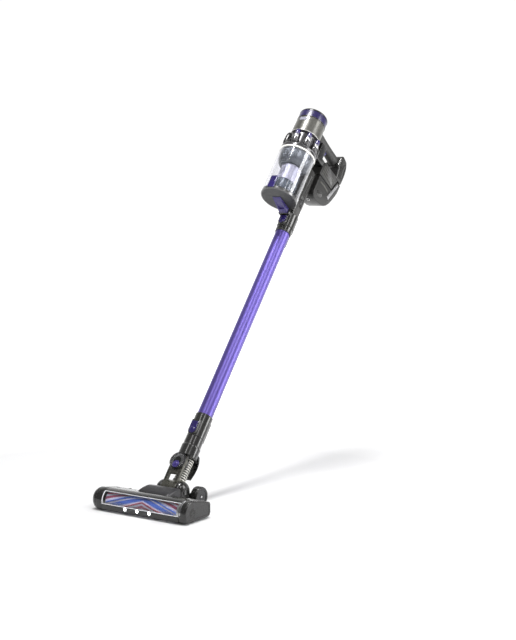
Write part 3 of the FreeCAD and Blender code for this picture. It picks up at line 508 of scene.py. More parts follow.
def make_finishes(colors):
    """Every finish of the vacuum, by name, from the colours in the panel."""
    charcoal, purple, indigo = (tuple(getattr(colors, key)) for key in ("charcoal", "purple", "indigo"))
    grey, white = tuple(colors.motor_grey), tuple(colors.seal_white)
    moulded("charcoal gloss", charcoal, 0.2, metal=0.3, coat=0.5, grain=1.2, bump=0.05)
    moulded("charcoal satin", shade(charcoal, 0.8), 0.36, metal=0.15, coat=0.1, grain=2.5, bump=0.12)
    moulded("soft touch", shade(charcoal, 1.1), 0.5, grain=3.2, bump=0.4, wear=0.15)
    moulded("collar grey", (0.075, 0.073, 0.076), 0.2, metal=0.5, coat=0.3, grain=1.2, bump=0.04)
    moulded("black shell", (0.006, 0.006, 0.0065), 0.26, coat=0.3, grain=2.0, bump=0.08)
    moulded("motor grey", grey, 0.34, metal=0.55, coat=0.15, grain=2.2, bump=0.07, wear=0.2)
    moulded("olive metal", (0.11, 0.108, 0.09), 0.27, metal=0.6, coat=0.2, grain=2.0, bump=0.1)
    moulded("pale flange", (0.34, 0.34, 0.35), 0.14, metal=0.95, grain=1.5, bump=0.05)
    moulded("lid grey", (0.042, 0.043, 0.044), 0.42, metal=0.2, grain=2.6, bump=0.1)
    # Lighter grey than the lid plate: on the lid's rim it is painted highlight; also used for the pale leaf panels on
    # the dock.
    moulded("lid rim", (0.12, 0.12, 0.122), 0.18, metal=0.6, coat=0.3, grain=2.6, bump=0.06)
    moulded("indigo gloss", indigo, 0.2, coat=0.6, grain=1.6, bump=0.05, tone=0.2, wear=0.3)
    moulded("cap indigo", shade(indigo, 0.6), 0.34, coat=0.2, grain=1.6, bump=0.05, tone=0.12, wear=0.2)
    moulded("violet satin", shade(colors.violet, 0.7), 0.3, coat=0.3, grain=2.2, bump=0.1)
    moulded("badge violet", shade(colors.violet, 1.3), 0.22, metal=0.3, coat=0.5, grain=2.2, bump=0.05)
    # Also used for the thin ring at the top of the collar, where the white is painted highlight.
    moulded("seal white", white, 0.38, grain=2.0, bump=0.08, tone=0.04, wear=0)
    moulded("shroud grey", (0.11, 0.12, 0.13), 0.3, metal=0.35, grain=2.5, bump=0.06, wear=0.1)
    moulded("tube blue grey", (0.045, 0.056, 0.07), 0.24, metal=0.15, coat=0.3, grain=1.5, bump=0.06)
    moulded("wheel grey", (0.028, 0.028, 0.031), 0.45, grain=2.4, bump=0.3, stick=False)
    moulded("tyre black", (0.007, 0.007, 0.007), 0.26, coat=0.3, grain=3.0, bump=0.2, wear=0.4, stick=False)
    moulded("head gloss", shade(charcoal, 0.6), 0.24, metal=0.2, coat=0.4, grain=1.4, bump=0.06, stick=False)
    moulded("head satin", shade(charcoal, 1.25), 0.42, metal=0.1, grain=2.8, bump=0.3, stick=False)
    moulded("hump grey", (0.05, 0.049, 0.053), 0.34, metal=0.45, grain=2.8, bump=0.1, stick=False)
    moulded("circuit board", (0.02, 0.11, 0.05), 0.45, grain=0.8, bump=0.3, tone=0.3)
    moulded("cell sleeve", (0.06, 0.25, 0.2), 0.35, coat=0.2, grain=1.2, bump=0.08)
    moulded("display glass", (0.30, 0.30, 0.36), 0.14, coat=0.8, grain=0.9, bump=0.03, wear=0)
    brushed("purple anodised", purple, 0.36, metal=0.7, coat=0.15, streak=0.15)
    brushed("silver satin", (0.5, 0.5, 0.51), 0.28)
    brushed("bellows silver", (0.66, 0.65, 0.6), 0.34, metal=0.6)
    brushed("turned steel", (0.5, 0.5, 0.5), 0.24, along=(0.03, 1, 1), stick=False)
    brushed("cast alloy", (0.45, 0.45, 0.46), 0.36, along=(0.4, 0.4, 0.4))
    fibres("felt", (0.1, 0.1, 0.11), (0.03, 0.03, 0.035))
    fibres("filter paper", (0.8, 0.8, 0.78), (0.55, 0.55, 0.52), scale=1.8, stick=True, bump=0.4)
    fibres("blue bristle", shade(colors.brush_blue, 1.2), shade(colors.brush_blue, 0.5), scale=2.0)
    fibres("red bristle", shade(colors.brush_red, 1.2), shade(colors.brush_red, 0.5), scale=2.0)
    helix_pile("brush pile", tuple(colors.brush_base), tuple(colors.brush_blue), tuple(colors.brush_red))
    perforated("screen mesh", (0.30, 0.30, 0.36), 0.3)
    clear("clear cup", (0.955, 0.955, 0.985))
    clear("clear window", (0.97, 0.97, 0.98), stick=False)
    # White trim strips at the edges of the brush window with a faint emission: painted glow, the trims are no lamp.
    tree, shader = moulded("white light guide", (0.86, 0.86, 0.9), 0.3, tone=0.04, wear=0, stick=False)
    shader.inputs["Emission Color"].default_value = (1, 1, 1, 1)
    shader.inputs["Emission Strength"].default_value = 0.2
    tree, shader = moulded("lamp lens", (0.95, 0.96, 1.0), 0.2, tone=0.02, wear=0, stick=False)
    shader.inputs["Emission Color"].default_value = (0.96, 0.98, 1, 1)
    shader.inputs["Emission Strength"].default_value = 14


# ---------------------------------------------------------------- floor head
DECK = arc(*BRUSH, 28.6, 121, 88, 8) + [(4, 43), (29, 36)]


def ring_outline(outer, inner, first, last, steps):
    """Outline of a curved strip round the brush."""
    return arc(*BRUSH, outer, first, last, steps) + arc(*BRUSH, inner, last, first, steps)


def build_sole(sizes):
    tray = plate([(-67.6, 6.5), (-64.2, 3), (29, 3), (29, 18.6), (-66, 18.6), (-67.6, 17)],
                 -CAP_EDGE, CAP_EDGE, edge=0.7)
    hollow = block((-CAP_EDGE - 5, -61.6, 5.5), (CAP_EDGE + 5, 26.5, 30))
    mouth = block((-CAP_EDGE + 3, -61.6, -5), (CAP_EDGE - 3, -16.2, 10))
    seats = [rod(4.6, (place, -63, 13.6), 8, "Y", sides=40) for place in (-42.5, -7, 28.5)]
    for seat in seats:
        seat.location.y = -8
        apply_place(seat)
    carve(tray, hollow, mouth, *seats)
    comb = block((-0.9, -16.4, 1.2), (0.9, -9, 3.2), 0.4, 2)
    teeth = [copied(comb, Matrix.Translation((x, 0, 0))) for x in range(-100, 101, 8)]
    remove(comb)
    slots = [block((x - 6, 8, 2.3), (x + 6, 22, 3.2), 0.4, 2) for x in range(-96, 97, 24)]
    settle(join(tray, *teeth, *slots), "sole_tray", "floor_head", ["sole_plate"],
           "head gloss", stick=False)


def build_lamps(sizes):
    bezel = turned([(3.2, 0.0), (4.5, 0.0), (4.5, 4.5), (4.2, 4.9), (3.7, 4.9), (3.2, 3.2)], steps=40)
    paint(bezel, "silver satin")
    glass = turned([(0, 0.6), (3.2, 0.6), (3.2, 3.0), (2.4, 3.9), (1.2, 4.3), (0, 4.4)], steps=40)
    paint(glass, "lamp lens")
    lamp = join(bezel, glass)
    lamp.rotation_euler = (math.pi / 2, 0, 0)
    apply_place(lamp)
    made = [copied(lamp, Matrix.Translation((x, -62.5, 13.6))) for x in (-42.5, -7, 28.5)]
    remove(lamp)
    settle(join(*made), "headlamps", "floor_head", ["headlight_lenses"], stick=False)


def build_deck(sizes):
    inner = arc(*BRUSH, 26.1, 121, 88, 8) + [(3.6, 40.5), (26.5, 33.6)]
    deck = plate(DECK + [(29, 18.7), (26.5, 18.7)] + inner[::-1], -CAP_EDGE, CAP_EDGE, edge=0.5)
    rails = []
    for low, high in ((-108, -66), (66, 108)):
        for back in (-10, -2):
            rails.append(block((low, back, 40.5), (high, back + 2.2, 44.8 if back < -5 else 43.6), 0.7, 3))
    screws = []
    for side in (-1, 1):
        boss = turned([(0, 34), (4.2, 34), (4.2, 39.6), (3.6, 40.2), (2.4, 40.2), (2.2, 39.0), (0, 39.0)], steps=40)
        boss.location = (side * 96, 16, 0)
        screws.append(apply_place(boss))
    settle(join(deck, *rails, *screws), "deck_shell", "floor_head", ["rear_deck"], "head gloss",
           stick=False)


def build_window(sizes):
    pane = plate(ring_outline(28.4, 26.8, 187, 122, 20), -CAP_EDGE, CAP_EDGE)
    paint(pane, "clear window")
    trims = [
        # The white trims carry a faint emission: painted glow on the window's edges.
        paint(plate(ring_outline(28.5, 26.6, 190.5, 187, 3), -CAP_EDGE, CAP_EDGE, edge=0.25), "white light guide"),
        paint(plate(ring_outline(28.5, 26.6, 124.2, 121.4, 3), -CAP_EDGE, CAP_EDGE, edge=0.25), "white light guide"),
        paint(plate(ring_outline(28.58, 26.6, 187, 124, 14), 106.5, CAP_EDGE, edge=0.3), "silver satin"),
        paint(plate(ring_outline(28.58, 26.6, 187, 124, 14), -CAP_EDGE, -110, edge=0.3), "white light guide"),
    ]
    settle(join(pane, *trims), "window_pane", "floor_head", ["brush_window"], stick=False)


def cap_shape(side):
    outline = arc(*BRUSH, 28.25, 186, 88, 16) + [(4, 43.2), (24, 37), (27.6, 35.4), (29, 31), (29, 13), (26, 6),
                                                (21, 3), (-62.6, 3), (-66.4, 8)]
    low, high = (CAP_EDGE, 132) if side > 0 else (-132, -CAP_EDGE)
    cap = plate(outline, low, high)
    hollow = rod(16.1, (low - 1 if side > 0 else low + 4, *BRUSH), 17, "X")
    rear = block((min(low, high) + (-1 if side > 0 else 4), -39, 8), (max(low, high) + (-4 if side > 0 else 1), 26, 32))
    return cap, [hollow, rear]


def build_caps(sizes):
    for side, name in ((-1, "left"), (1, "right")):
        cap, hollows = cap_shape(side)
        round_face(cap, lambda face: face.normal.x * side > 0.9, 3.4, 5)
        extras = []
        if side < 0:
            round_face(cap, lambda face: face.normal.x > 0.9, 0.5, 2)
            drum = turned([(0, -131), (27.6, -131), (27.6, -132.6), (26.9, -133), (26.9, -133.8), (27.4, -134.2),
                           (27, -137), (25.6, -140.6), (23.4, -143.6), (20.6, -145.8), (18.4, -146.7),
                           (16.4, -146.9), (15.8, -146.3), (15.4, -146.1), (0, -146.1)], (0, *BRUSH), "X", 96)
            carve(drum, block((-150, -80, -20), (-120, 40, 3)))
            extras.append(drum)
        else:
            panel(cap, lambda face: face.normal.x > 0.99, 2.4, -0.6)
            round_face(cap, lambda face: face.normal.x < -0.9, 0.5, 2)
            hollows += [rod(10.4, (129.5, *BRUSH), 3.5, "X"), rod(7.1, (126, *BRUSH), 8, "X")]
            extras.append(paint(turned([(7.2, 129), (10.2, 129), (10.2, 131.4), (9.7, 132), (8, 132), (7.2, 131.2)],
                                       (0, *BRUSH), "X", 64), "head satin"))
            trim = plate(ring_outline(28.59, 27.4, 184, 96, 20), 113.2, 117.6, edge=0.4)
            extras.append(paint(trim, "pale flange"))
        carve(cap, *hollows)
        for step in range(3):
            near, far = sorted((side * (116 + 3 * step), side * (117 + 3 * step)))
            extras.append(block((near, -20 + 2 * step, 40.4), (far, 2, 44.2), 0.4, 2))
        paint(cap, "head gloss")
        for extra in extras:
            if not extra.data.materials:
                paint(extra, "head gloss")
        settle(join(cap, *extras), f"cap_{name}", "floor_head", [f"end_cap_{name}"], stick=False)
    dial = turned([(0, 0), (6.9, 0), (6.9, 4.2), (6.4, 4.8), (0, 4.8)], (127.1, *BRUSH), "X", 56)
    carve(dial, block((131, BRUSH[0] - 4.6, BRUSH[1] - 0.9), (134, BRUSH[0] + 4.6, BRUSH[1] + 0.9)))
    soften(dial, 0.25, 2)
    settle(dial, "lock_dial", "brush_lock", ["brush_lock"], "head satin", stick=False)


def build_brush(sizes):
    length, start = 218, -109
    core = turned([(0, 0), (13.2, 0), (13.5, 0.4), (13.5, length - 0.4), (13.2, length), (0, length)],
                  (start, *BRUSH), "X", 64)
    shafts = [rod(4, (-127.8, *BRUSH), 19, "X", sides=32, edge=0.4), rod(4, (109, *BRUSH), 12.8, "X", sides=32, edge=0.4)]
    teeth = turned_copies(block((-122, -0.8, 10.2), (-115, 0.8, 11), 0.2, 1), 24, axis="X")
    teeth.location = (0, *BRUSH)
    pulley = rod(10.4, (-122, *BRUSH), 7, "X", sides=48)
    settle(join(core, *shafts, pulley, apply_place(teeth)), "roller_core", "brush_roll", ["brush_core"],
           "cast alloy", stick=False)
    count = 44
    sleeve = [(13.6, 0.5), (18.6, 0.5)]
    sleeve += [(18.8 + 0.22 * math.sin(step * 2.1), 0.5 + (length - 1) * step / count) for step in range(1, count)]
    sleeve += [(18.6, length - 0.5), (13.6, length - 0.5)]
    pile = turned(sleeve, (start, *BRUSH), "X", 80)
    settle(pile, "roller_pile", "brush_roll", ["brush_fabric"], "brush pile", stick=False, smooth=60)
    tufts = []
    pitch, reach = 400.0, 105
    each = sizes.tufts_per_row
    for row in range(6):
        finish = "blue bristle" if row % 2 == 0 else "red bristle"
        deselect()
        bpy.ops.mesh.primitive_cone_add(vertices=5, radius1=2.1, radius2=1.5, depth=3.9,
                                        location=(0, 0, 19.8), end_fill_type="NGON")
        tuft = paint(apply_place(bpy.context.object), finish)
        for step in range(each):
            across = -reach + 2 * reach * step / (each - 1)
            twist = FULL * (row / 6 + abs(across) / pitch)
            lean = 0.16 * math.sin(step * 1.7 + row)
            spot = (Matrix.Translation((across, *BRUSH)) @ Matrix.Rotation(twist, 4, "X")
                    @ Matrix.Translation((0, 0, 19.8)) @ Matrix.Rotation(lean, 4, "X") @ Matrix.Translation((0, 0, -19.8)))
            twin = tuft.copy()
            twin.data = tuft.data.copy()
            twin.data.transform(spot)
            bpy.context.collection.objects.link(twin)
            tufts.append(twin)
        remove(tuft)
    settle(join(*tufts), "bristle_tufts", "brush_roll", ["bristle_rows"], stick=False, smooth=50)


HUMP = [(-23.6, 43.2), (-22.4, 45.6), (-19, 48), (-15.4, 49.8), (-11, 51.4), (-5.6, 53), (0, 54.1), (7, 55.2),
        (14, 55.8), (20, 55.9)]


def build_hump(sizes):
    """Ribbed wedge over the pivot, hollow, open where the yoke swings."""
    shell = plate([(-23.6, 30)] + HUMP + [(26, 55.4), (29.4, 53.6), (30.8, 50.6), (30.8, 30)], -46, 46)
    round_face(shell, lambda face: abs(face.normal.x) > 0.9, 6, 6)
    inner = [(y + 2.5, z - 2.5) for y, z in HUMP]
    hollow = plate([(-21.1, 20)] + inner + [(27.4, 50), (28.3, 47), (28.3, 20)], -43, 43)
    below = plate([(-90, -40), (-90, 20), (-62, 46)] + arc(*BRUSH, 28.65, 120, 88, 8) + [(4, 43.05), (29, 36.05),
                   (90, 36.05), (90, -40)], -90, 90)
    seat = rod(26.2, (-90, 57, 39.5), 180, "X", sides=96)
    carve(shell, hollow, below, seat)
    strip = [(y, z + 0.45) for y, z in HUMP[:-1]] + [(y + 0.6, z - 0.8) for y, z in HUMP[:-1]][::-1]
    rib = plate(strip, -0.5, 0.5)
    count = sizes.hump_ribs
    ribs = [copied(rib, Matrix.Translation((-39 + 78 * step / (count - 1), 0, 0))) for step in range(count)]
    remove(rib)
    settle(join(shell, *ribs), "hump_shell", "floor_head", ["hump_cover"], "hump grey", stick=False,
           smooth=40)


def build_pivot(sizes):
    pieces = []
    for side in (-1, 1):
        dome = [(5.06, 21.3), (24.2, 21.3), (25.0, 22.2), (24.9, 25), (24.1, 29), (22.4, 32.6), (19.6, 35.8),
                (16.2, 38), (13.2, 39.2), (12.6, 38.6), (9, 38.6), (8.4, 40), (5.06, 40)]
        if side < 0:
            dome = [(radius, -height) for radius, height in dome]
        body = turned(dome, (0, 57, 39.5), "X", 80)
        foot = block((24 if side > 0 else -37, 29.1, 10), (37 if side > 0 else -24, 45, 33), 1.6)
        arm = plate(arc(96, 24, 8, -90, 90, 10) + [(60, 36), (54, 30), (54, 15), (60, 13)],
                    30.2 if side > 0 else -37.4, 37.4 if side > 0 else -30.2, edge=1.2)
        axle = rod(3, (31 if side > 0 else -54, 96, 24), 23, "X", sides=32, edge=0.4)
        pieces += [body, foot, arm, axle]
    settle(join(*pieces), "pivot_domes", "floor_head", ["pivot_housing"], "head gloss", stick=False)


def build_wheels(sizes):
    radius = sizes.wheel_radius / MM
    for side, name in ((-1, "left"), (1, "right")):
        tyre = turned([(17.6, 0.4), (21.8, 0), (23.2, 0.8), (radius, 2.8), (radius, 7), (radius - 0.5, 7.4),
                       (radius - 0.5, 8), (radius, 8.4), (radius, 10.8), (radius - 0.5, 11.2),
                       (radius - 0.5, 11.8), (radius, 12.2), (radius, 15.6), (23, 17.8), (21.4, 19), (18.3, 19),
                       (17.6, 18.4)], steps=96)
        paint(tyre, "tyre black")
        hub = turned([(3.06, 0.8), (17.5, 0.8), (17.5, 18.2), (16.8, 18.8), (15.8, 18.8), (15.2, 17.6), (10, 18.1),
                      (8.2, 18.2), (7.6, 17.5), (6.8, 17.5), (6.2, 18.3), (4.2, 18.4), (3.06, 17.4)], steps=72)
        paint(hub, "wheel grey")
        pin = paint(turned([(0, 16.2), (3.0, 16.2), (3.0, 17.6), (2.2, 18.2), (0, 18.2)], steps=32), "turned steel")
        wheel = join(tyre, hub, pin)
        wheel.rotation_euler = (0, math.pi / 2 * side, 0)
        wheel.location = (38 * side, 96, 24)
        apply_place(wheel)
        settle(wheel, f"wheel_tyre_{name}", f"wheel_{name}", [f"wheel_{name}"], stick=False)


# ---------------------------------------------------------------- neck
def build_neck_lower(sizes):
    drum = turned([(5.02, -21), (23.6, -21), (24.6, -20), (24.6, -12), (24.1, -11.6), (24.1, 11.6), (24.6, 12),
                   (24.6, 20), (23.6, 21), (5.02, 21)], axis="X", steps=96)
    cuff = rod(16, (0, 8.5, 0), 30, edge=0.8)
    hub = rod(21, (0, -24, STEER), 8, "Y", edge=0.9)
    arms = []
    for side in (-1, 1):
        outline = [(side * x, z) for x, z in ((11, 8), (20, 14), (20.6, 44), (19.6, 58), (16, 66), (11, 66))]
        arms.append(plate(outline if side > 0 else outline[::-1], -24, -16, "xz", edge=1.2))
    fuse(drum, cuff, hub, block((-11.5, -24, 34), (11.5, -16, STEER), 1.2), *arms)
    carve(drum, rod(12, (0, 8.5, 8), 40), rod(4.02, (0, -26, STEER), 12, "Y", sides=40))
    ribs = [block((side * 15.8 - 3.6, -24.7, 20 + 4 * step), (side * 15.8 + 3.6, -23.6, 21.6 + 4 * step), 0.35, 2)
            for side in (-1, 1) for step in range(6)]
    for rib in ribs:
        paint(rib, "charcoal gloss")
    paint(drum, "olive metal")
    settle(join(drum, *ribs), "yoke_frame", "neck_lower", ["neck_yoke"])
    base = turned([(0, 0), (21.2, 0), (22, 0.8), (22, 3.6), (21.2, 4.6), (19.6, 4.8), (18.6, 4.2), (9.5, 3.9),
                   (0, 3.9)], steps=96)
    rib = block((-0.75, 10.5, 3.4), (0.75, 18.8, 4.9), 0.4, 2)
    ring = paint(turned_copies(rib, sizes.knob_ribs), "silver satin")
    knob = join(paint(base, "black shell"), ring)
    knob.rotation_euler = (math.pi / 2, 0, 0)
    knob.location = (0, -24.2, STEER)
    apply_place(knob)
    badge = turned([(0, 0), (9, 0), (9, 1.4), (8.4, 2), (7, 2), (6.4, 1.5), (5, 1.5), (4.2, 2.1), (2, 2.5), (0, 2.6)],
                   steps=64)
    badge.rotation_euler = (math.pi / 2, 0, 0)
    badge.location = (0, -28.7, STEER - 10)
    apply_place(badge)
    paint(badge, "badge violet")
    settle(join(knob, badge), "knob_disc", "neck_lower", ["knob_cover"])


def build_bellows(sizes):
    folds, low, high = sizes.bellows_folds, 29.0, 94.0
    pitch = (high - low) / folds
    # The groove floor between the silver folds is a black tube: painted shade in the valleys of the bellows.
    skin = paint(turned([(12, low), (13.2, low), (13.2, high), (12, high)], (0, 8.5, 0), "Z", 72), "black shell")
    rings = []
    for fold in range(folds):
        start = low + fold * pitch
        rings.append(turned([(12.9, start + pitch * 0.1), (14.6, start + pitch * 0.18), (15, start + pitch * 0.38),
                             (14.6, start + pitch * 0.58), (12.9, start + pitch * 0.66)], (0, 8.5, 0), "Z", 72))
    rings = paint(join(*rings), "bellows silver")
    skin = join(skin, rings)
    settle(skin, "bellows_skin", None, ["neck_bellows"], smooth=50)
    start, end = (STICK @ Vector((0, 8.5, height)) for height in (34, 84))
    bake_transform(skin)


def build_neck_upper(sizes):
    barrel = turned([(15.5, 88.3), (22.7, 88.3), (23.5, 89.1), (23.5, 111.6), (23.1, 112), (23.1, 112.6), (23.5, 113),
                     (23.5, 115.4), (22.9, 116.6), (21.9, 118), (21.8, 140.2), (21.2, 141), (18.4, 141), (18.4, 170),
                     (17.6, 171), (15.5, 171)])
    tongue = rod(20, (0, -15.7, STEER), 7.4, "Y", edge=0.8)
    web = block((-14, -15.7, STEER), (14, -8.3, 91.3), 1.2)
    fuse(barrel, tongue, web)
    carve(barrel, rod(4.06, (0, -30, STEER), 40, "Y", sides=40))
    seams = [block((side * 23.1 - 0.8, -0.5, 92), (side * 23.1 + 0.8, 0.5, 139)) for side in (-1, 1)]
    carve(barrel, *seams)
    settle(barrel, "neck_barrel", "neck_upper", ["neck_tube"], "charcoal gloss")
    back = plate([(21, 106), (30, 104), (36.5, 93), (38, 78), (36, 60), (31.5, 45), (29, 45.5), (33, 61), (35, 78),
                  (33, 91), (26, 99), (23.7, 99), (23.7, 103)], -14, 14)
    carve(back, rod(23.6, (0, 0, 80), 40))
    edit(back)
    pick(back, lambda edge: abs((edge.verts[0].co - edge.verts[1].co).normalized().x) < 0.2
         and abs(edge.verts[0].co.x) > 13.9 and abs(edge.verts[1].co.x) > 13.9
         and min(edge.verts[0].co.y, edge.verts[1].co.y) > 29.9, "EDGE")
    bpy.ops.mesh.bevel(offset=1.6, segments=3, affect="EDGES")
    done()
    ribs = [block((-9, 37.2 - abs(step - 2) * 0.5, 66 + 5 * step), (9, 38.6 - abs(step - 2) * 0.55, 67.6 + 5 * step), 0.4, 2)
            for step in range(5)]
    settle(join(back, *ribs), "neck_guard", "neck_upper", ["neck_rear_shell"], "black shell")


# ---------------------------------------------------------------- wand
KEY_HALF = 9.5


def key_outline(low, high, grow=0.0):
    """Outline of a release key: square shoulders above, a half-round thumb end below."""
    half = KEY_HALF + grow
    return [(half, high + grow), (-half, high + grow)] + arc(0, low + KEY_HALF, half, 180, 360, 14)


def release_key(face, low, high, name, body, node_name):
    key = plate(key_outline(low, high), -face - 1.6, -face + 0.8, "xz")
    round_face(key, lambda item: item.normal.y < -0.9, 0.9, 3)
    dish = turned([(0, -0.6), (7.2, -0.6), (7.2, 0.5), (6.6, 1.0), (4.5, 1.6), (2.2, 1.9), (0, 2.0)], steps=48)
    dish.rotation_euler = (math.pi / 2, 0, 0)
    dish.location = (0, -face - 1.2, low + KEY_HALF)
    apply_place(dish)
    bars = [block((-6.5, -face - 2.1, high - 4 - 3.2 * step), (6.5, -face - 1.3, high - 2.6 - 3.2 * step), 0.3, 2)
            for step in range(3)]
    settle(join(key, dish, *bars), name, body, [node_name], "indigo gloss")


def build_wand(sizes):
    radius = sizes.wand_radius / MM
    pipe = turned([(radius - 0.3, 176.2), (radius, 176.5), (radius, 761.9), (radius - 0.3, 762.2),
                   (radius - 1.2, 762.2), (radius - 1.2, 176.2)], steps=128)
    settle(pipe, "wand_pipe", "wand", ["wand_tube"], "purple anodised")
    sleeve = turned([(18.55, 141.3), (20.9, 141.3), (21.6, 142.1), (21.6, 198.4), (21.2, 198.8), (21.2, 199.3),
                     (21.6, 199.7), (21.6, 201.2), (20.8, 202), (19.02, 202), (19.02, 176), (18.55, 175.5)])
    boss = plate(key_outline(142.6, 178.5, 2.4), -24, -10, "xz")
    round_face(boss, lambda item: item.normal.y < -0.9, 1.4, 3)
    fuse(sleeve, boss)
    carve(sleeve, rod(18.56, (0, 0, 140), 36), rod(19.02, (0, 0, 175.9), 40),
          plate(key_outline(144, 176, 0.3), -27, -19.9, "xz"))
    seams = [block((side * 21.4 - 0.6, -0.4, 144), (side * 21.4 + 0.6, 0.4, 197)) for side in (-1, 1)]
    carve(sleeve, *seams)
    settle(sleeve, "sleeve_lower", "wand", ["wand_lower_sleeve"], "charcoal gloss")
    upper = turned([(19.02, 750), (20.9, 750), (21.6, 750.8), (21.6, 752.6), (21.2, 753), (21.2, 753.5), (21.6, 753.9),
                    (21.6, 765), (21, 765.7), (18.4, 765.7), (18.4, 794), (17.6, 795), (15.5, 795), (15.5, 763.2),
                    (19.02, 763.2)])
    settle(upper, "sleeve_upper", "wand", ["wand_upper_sleeve"], "charcoal gloss")
    low_rib = block((-8, 18, 141.3), (8, 28.6, 196), 2.4)
    high_rib = block((-7, 17, 722), (7, 25.6, 764), 2)
    carve(low_rib, rod(21.75, (0, 0, 100), 140), block((-3, 27.6, 147), (3, 30, 190), 0.8))
    carve(high_rib, rod(19.02, (0, 0, 700), 52), rod(21.75, (0, 0, 749.8), 40))
    settle(join(low_rib, high_rib), "contact_rails", "wand", ["wand_contact_ribs"], "black shell")
    release_key(24, 144, 176, "key_lower", "head_release", "head_release_button")


# ---------------------------------------------------------------- hand unit
def build_socket(sizes):
    barrel = turned([(18.55, 766), (22.2, 766), (23, 766.8), (23, 768.6), (22.6, 769), (22.6, 769.5), (23, 769.9),
                     (23, 804.2), (22.2, 805), (15.5, 805), (15.5, 795.2), (18.55, 795.2)])
    boss = plate(key_outline(767.2, 793.5, 2.4), -25.2, -10, "xz")
    round_face(boss, lambda item: item.normal.y < -0.9, 1.4, 3)
    rail = block((-8, 19, 766.3), (8, 29, 805), 1.8)
    ears = [block((min(a, b), -32, 793), (max(a, b), -17, 803), 1.2)
            for a, b in ((12.3, 16), (-16, -12.3))]
    fuse(barrel, boss, rail, *ears)
    carve(barrel, rod(18.56, (0, 0, 760), 35.2), rod(15.5, (0, 0, 790), 30),
          plate(key_outline(768.5, 791, 0.3), -28, -21.1, "xz"),
          rod(1.62, (-30, -28, 797), 60, "X", sides=32))
    settle(barrel, "socket_barrel", "hand_unit", ["inlet_socket"], "charcoal gloss")
    release_key(25.2, 768.5, 791, "key_upper", "wand_release", "wand_release_button")


def build_duct(sizes):
    duct = block((-15, -14.8, 805.2), (15, 16, 956), 3.2, 4)
    inside = block((-12.6, -12.4, 800), (12.6, 13.6, 962))
    recesses = [block((side * 15.2 - 1.4, -7, 838), (side * 15.2 + 1.4, 9, 872), 1.0) for side in (-1, 1)]
    slots = [block((side * 15.2 - 0.9, -2.5, 885), (side * 15.2 + 0.9, 4.5, 940), 0.6) for side in (-1, 1)]
    carve(duct, inside, *recesses, *slots)
    catches = [paint(block((side * 13.9 - 0.9, -4, 846), (side * 13.9 + 0.9, 6, 862), 0.7), "black shell")
               for side in (-1, 1)]
    rails = [block((side * 9 - 0.8, -15.6, 812), (side * 9 + 0.8, -14.2, 940), 0.4, 2) for side in (-1, 1)]
    paint(duct, "charcoal gloss")
    for rail in rails:
        paint(rail, "charcoal gloss")
    settle(join(duct, *catches, *rails), "spine", "hand_unit", ["spine_duct"])


CONE_ANGLES = [math.radians(-84 + 45 * (number - 3)) for number in range(7)]


def round_the_cup(piece, radius, picks=range(7)):
    """Copies a piece modelled on the Z axis to some of the seven cyclone places."""
    made = []
    for angle in (CONE_ANGLES[pick_number] for pick_number in picks):
        spot = Matrix.Translation((radius * math.cos(angle), CUP_BACK + radius * math.sin(angle), 0))
        made.append(copied(piece, spot @ Matrix.Rotation(angle, 4, "Z")))
    remove(piece)
    return join(*made)


def build_collar(sizes):
    shell = turned([(30, 950.2), (48.2, 950.2), (48.9, 950.9), (48.9, 956.2), (48.2, 957), (46.4, 957.2), (44, 960),
                    (36, 962), (33.5, 963), (33.5, 1003.6), (37.2, 1006), (39, 1006.6), (39.5, 1007.4), (39.5, 1012.4),
                    (39, 1013), (30, 1013)], (0, CUP_BACK, 0), steps=120)
    carve(shell, block((-15.3, -20, 900), (15.3, 60, 956.3)))
    paint(shell, "collar grey")
    flange = turned([(45.8, 957.3), (48.6, 957.3), (48.9, 957.8), (48.6, 959.2), (46, 961.6), (44.6, 960.6)],
                    (0, CUP_BACK, 0), steps=120)
    carve(flange, block((-15.3, -30, 900), (15.3, 60, 1000)))
    paint(flange, "pale flange")
    band = paint(turned([(38.4, 1008.9), (39.6, 1008.9), (39.6, 1013), (38.4, 1013)], (0, CUP_BACK, 0), steps=120),
                 "motor grey")
    # A thin white ring just under the grey band: painted highlight along the collar's top edge.
    line = paint(turned([(38.6, 1008), (39.75, 1008), (39.75, 1008.8), (38.6, 1008.8)], (0, CUP_BACK, 0), steps=120),
                 "seal white")
    lobe = [(0, 962.6), (6.6, 962.6), (8.3, 965.4), (8.9, 970), (8.8, 978), (8.2, 988), (6.6, 996), (4, 1000.5),
            (0, 1001.5)]
    dark = paint(turned(lobe, steps=40), "black shell")
    low = paint(turned([(0, 962.6), (6.6, 962.6), (8.3, 965.4), (8.9, 970), (8.7, 976), (7.7, 982), (6.6, 985.4),
                        (5.7, 986.4), (0, 986.4)], steps=40), "collar grey")
    lobes = [round_the_cup(dark, 41.2, (0, 1, 2, 6)), round_the_cup(low, 40.4, (3, 4, 5))]
    settle(join(shell, flange, band, line, *lobes), "cyclone_ring", "hand_unit", ["cyclone_collar"])
    cup = turned([(0, 978), (7.2, 978), (7.5, 979.4), (6.9, 984.4), (6.1, 988.8), (5.5, 989.4), (0, 989.4)], steps=40)
    paint(cup, "silver satin")
    tip = turned([(0, 988.6), (6.0, 988.6), (6.2, 990), (5.9, 999), (5.2, 1002.4), (3.6, 1004), (0, 1004.4)], steps=40)
    paint(tip, "indigo gloss")
    settle(round_the_cup(join(cup, tip), 42.0, (3, 4, 5)), "cyclone_tips", "hand_unit", ["cyclone_cones"])


def build_motor(sizes):
    shell = turned([(37.1, 1013.1), (39.2, 1013.1), (39.5, 1013.5), (38.35, 1054.5), (37.9, 1055), (35.9, 1055)],
                   (0, CUP_BACK, 0), steps=128)
    front = CUP_BACK - 39.5
    carve(shell, block((-11, front - 2, 1041), (11, front + 6, 1051), 1.6))
    settle(shell, "motor_shell", "hand_unit", ["motor_housing"], "motor grey")
    glass = block((-10.8, CUP_BACK - 39.1, 1041.2), (10.8, CUP_BACK - 36.9, 1050.8), 0.9)
    settle(glass, "display_pane", "hand_unit", ["display_window"], "display glass")


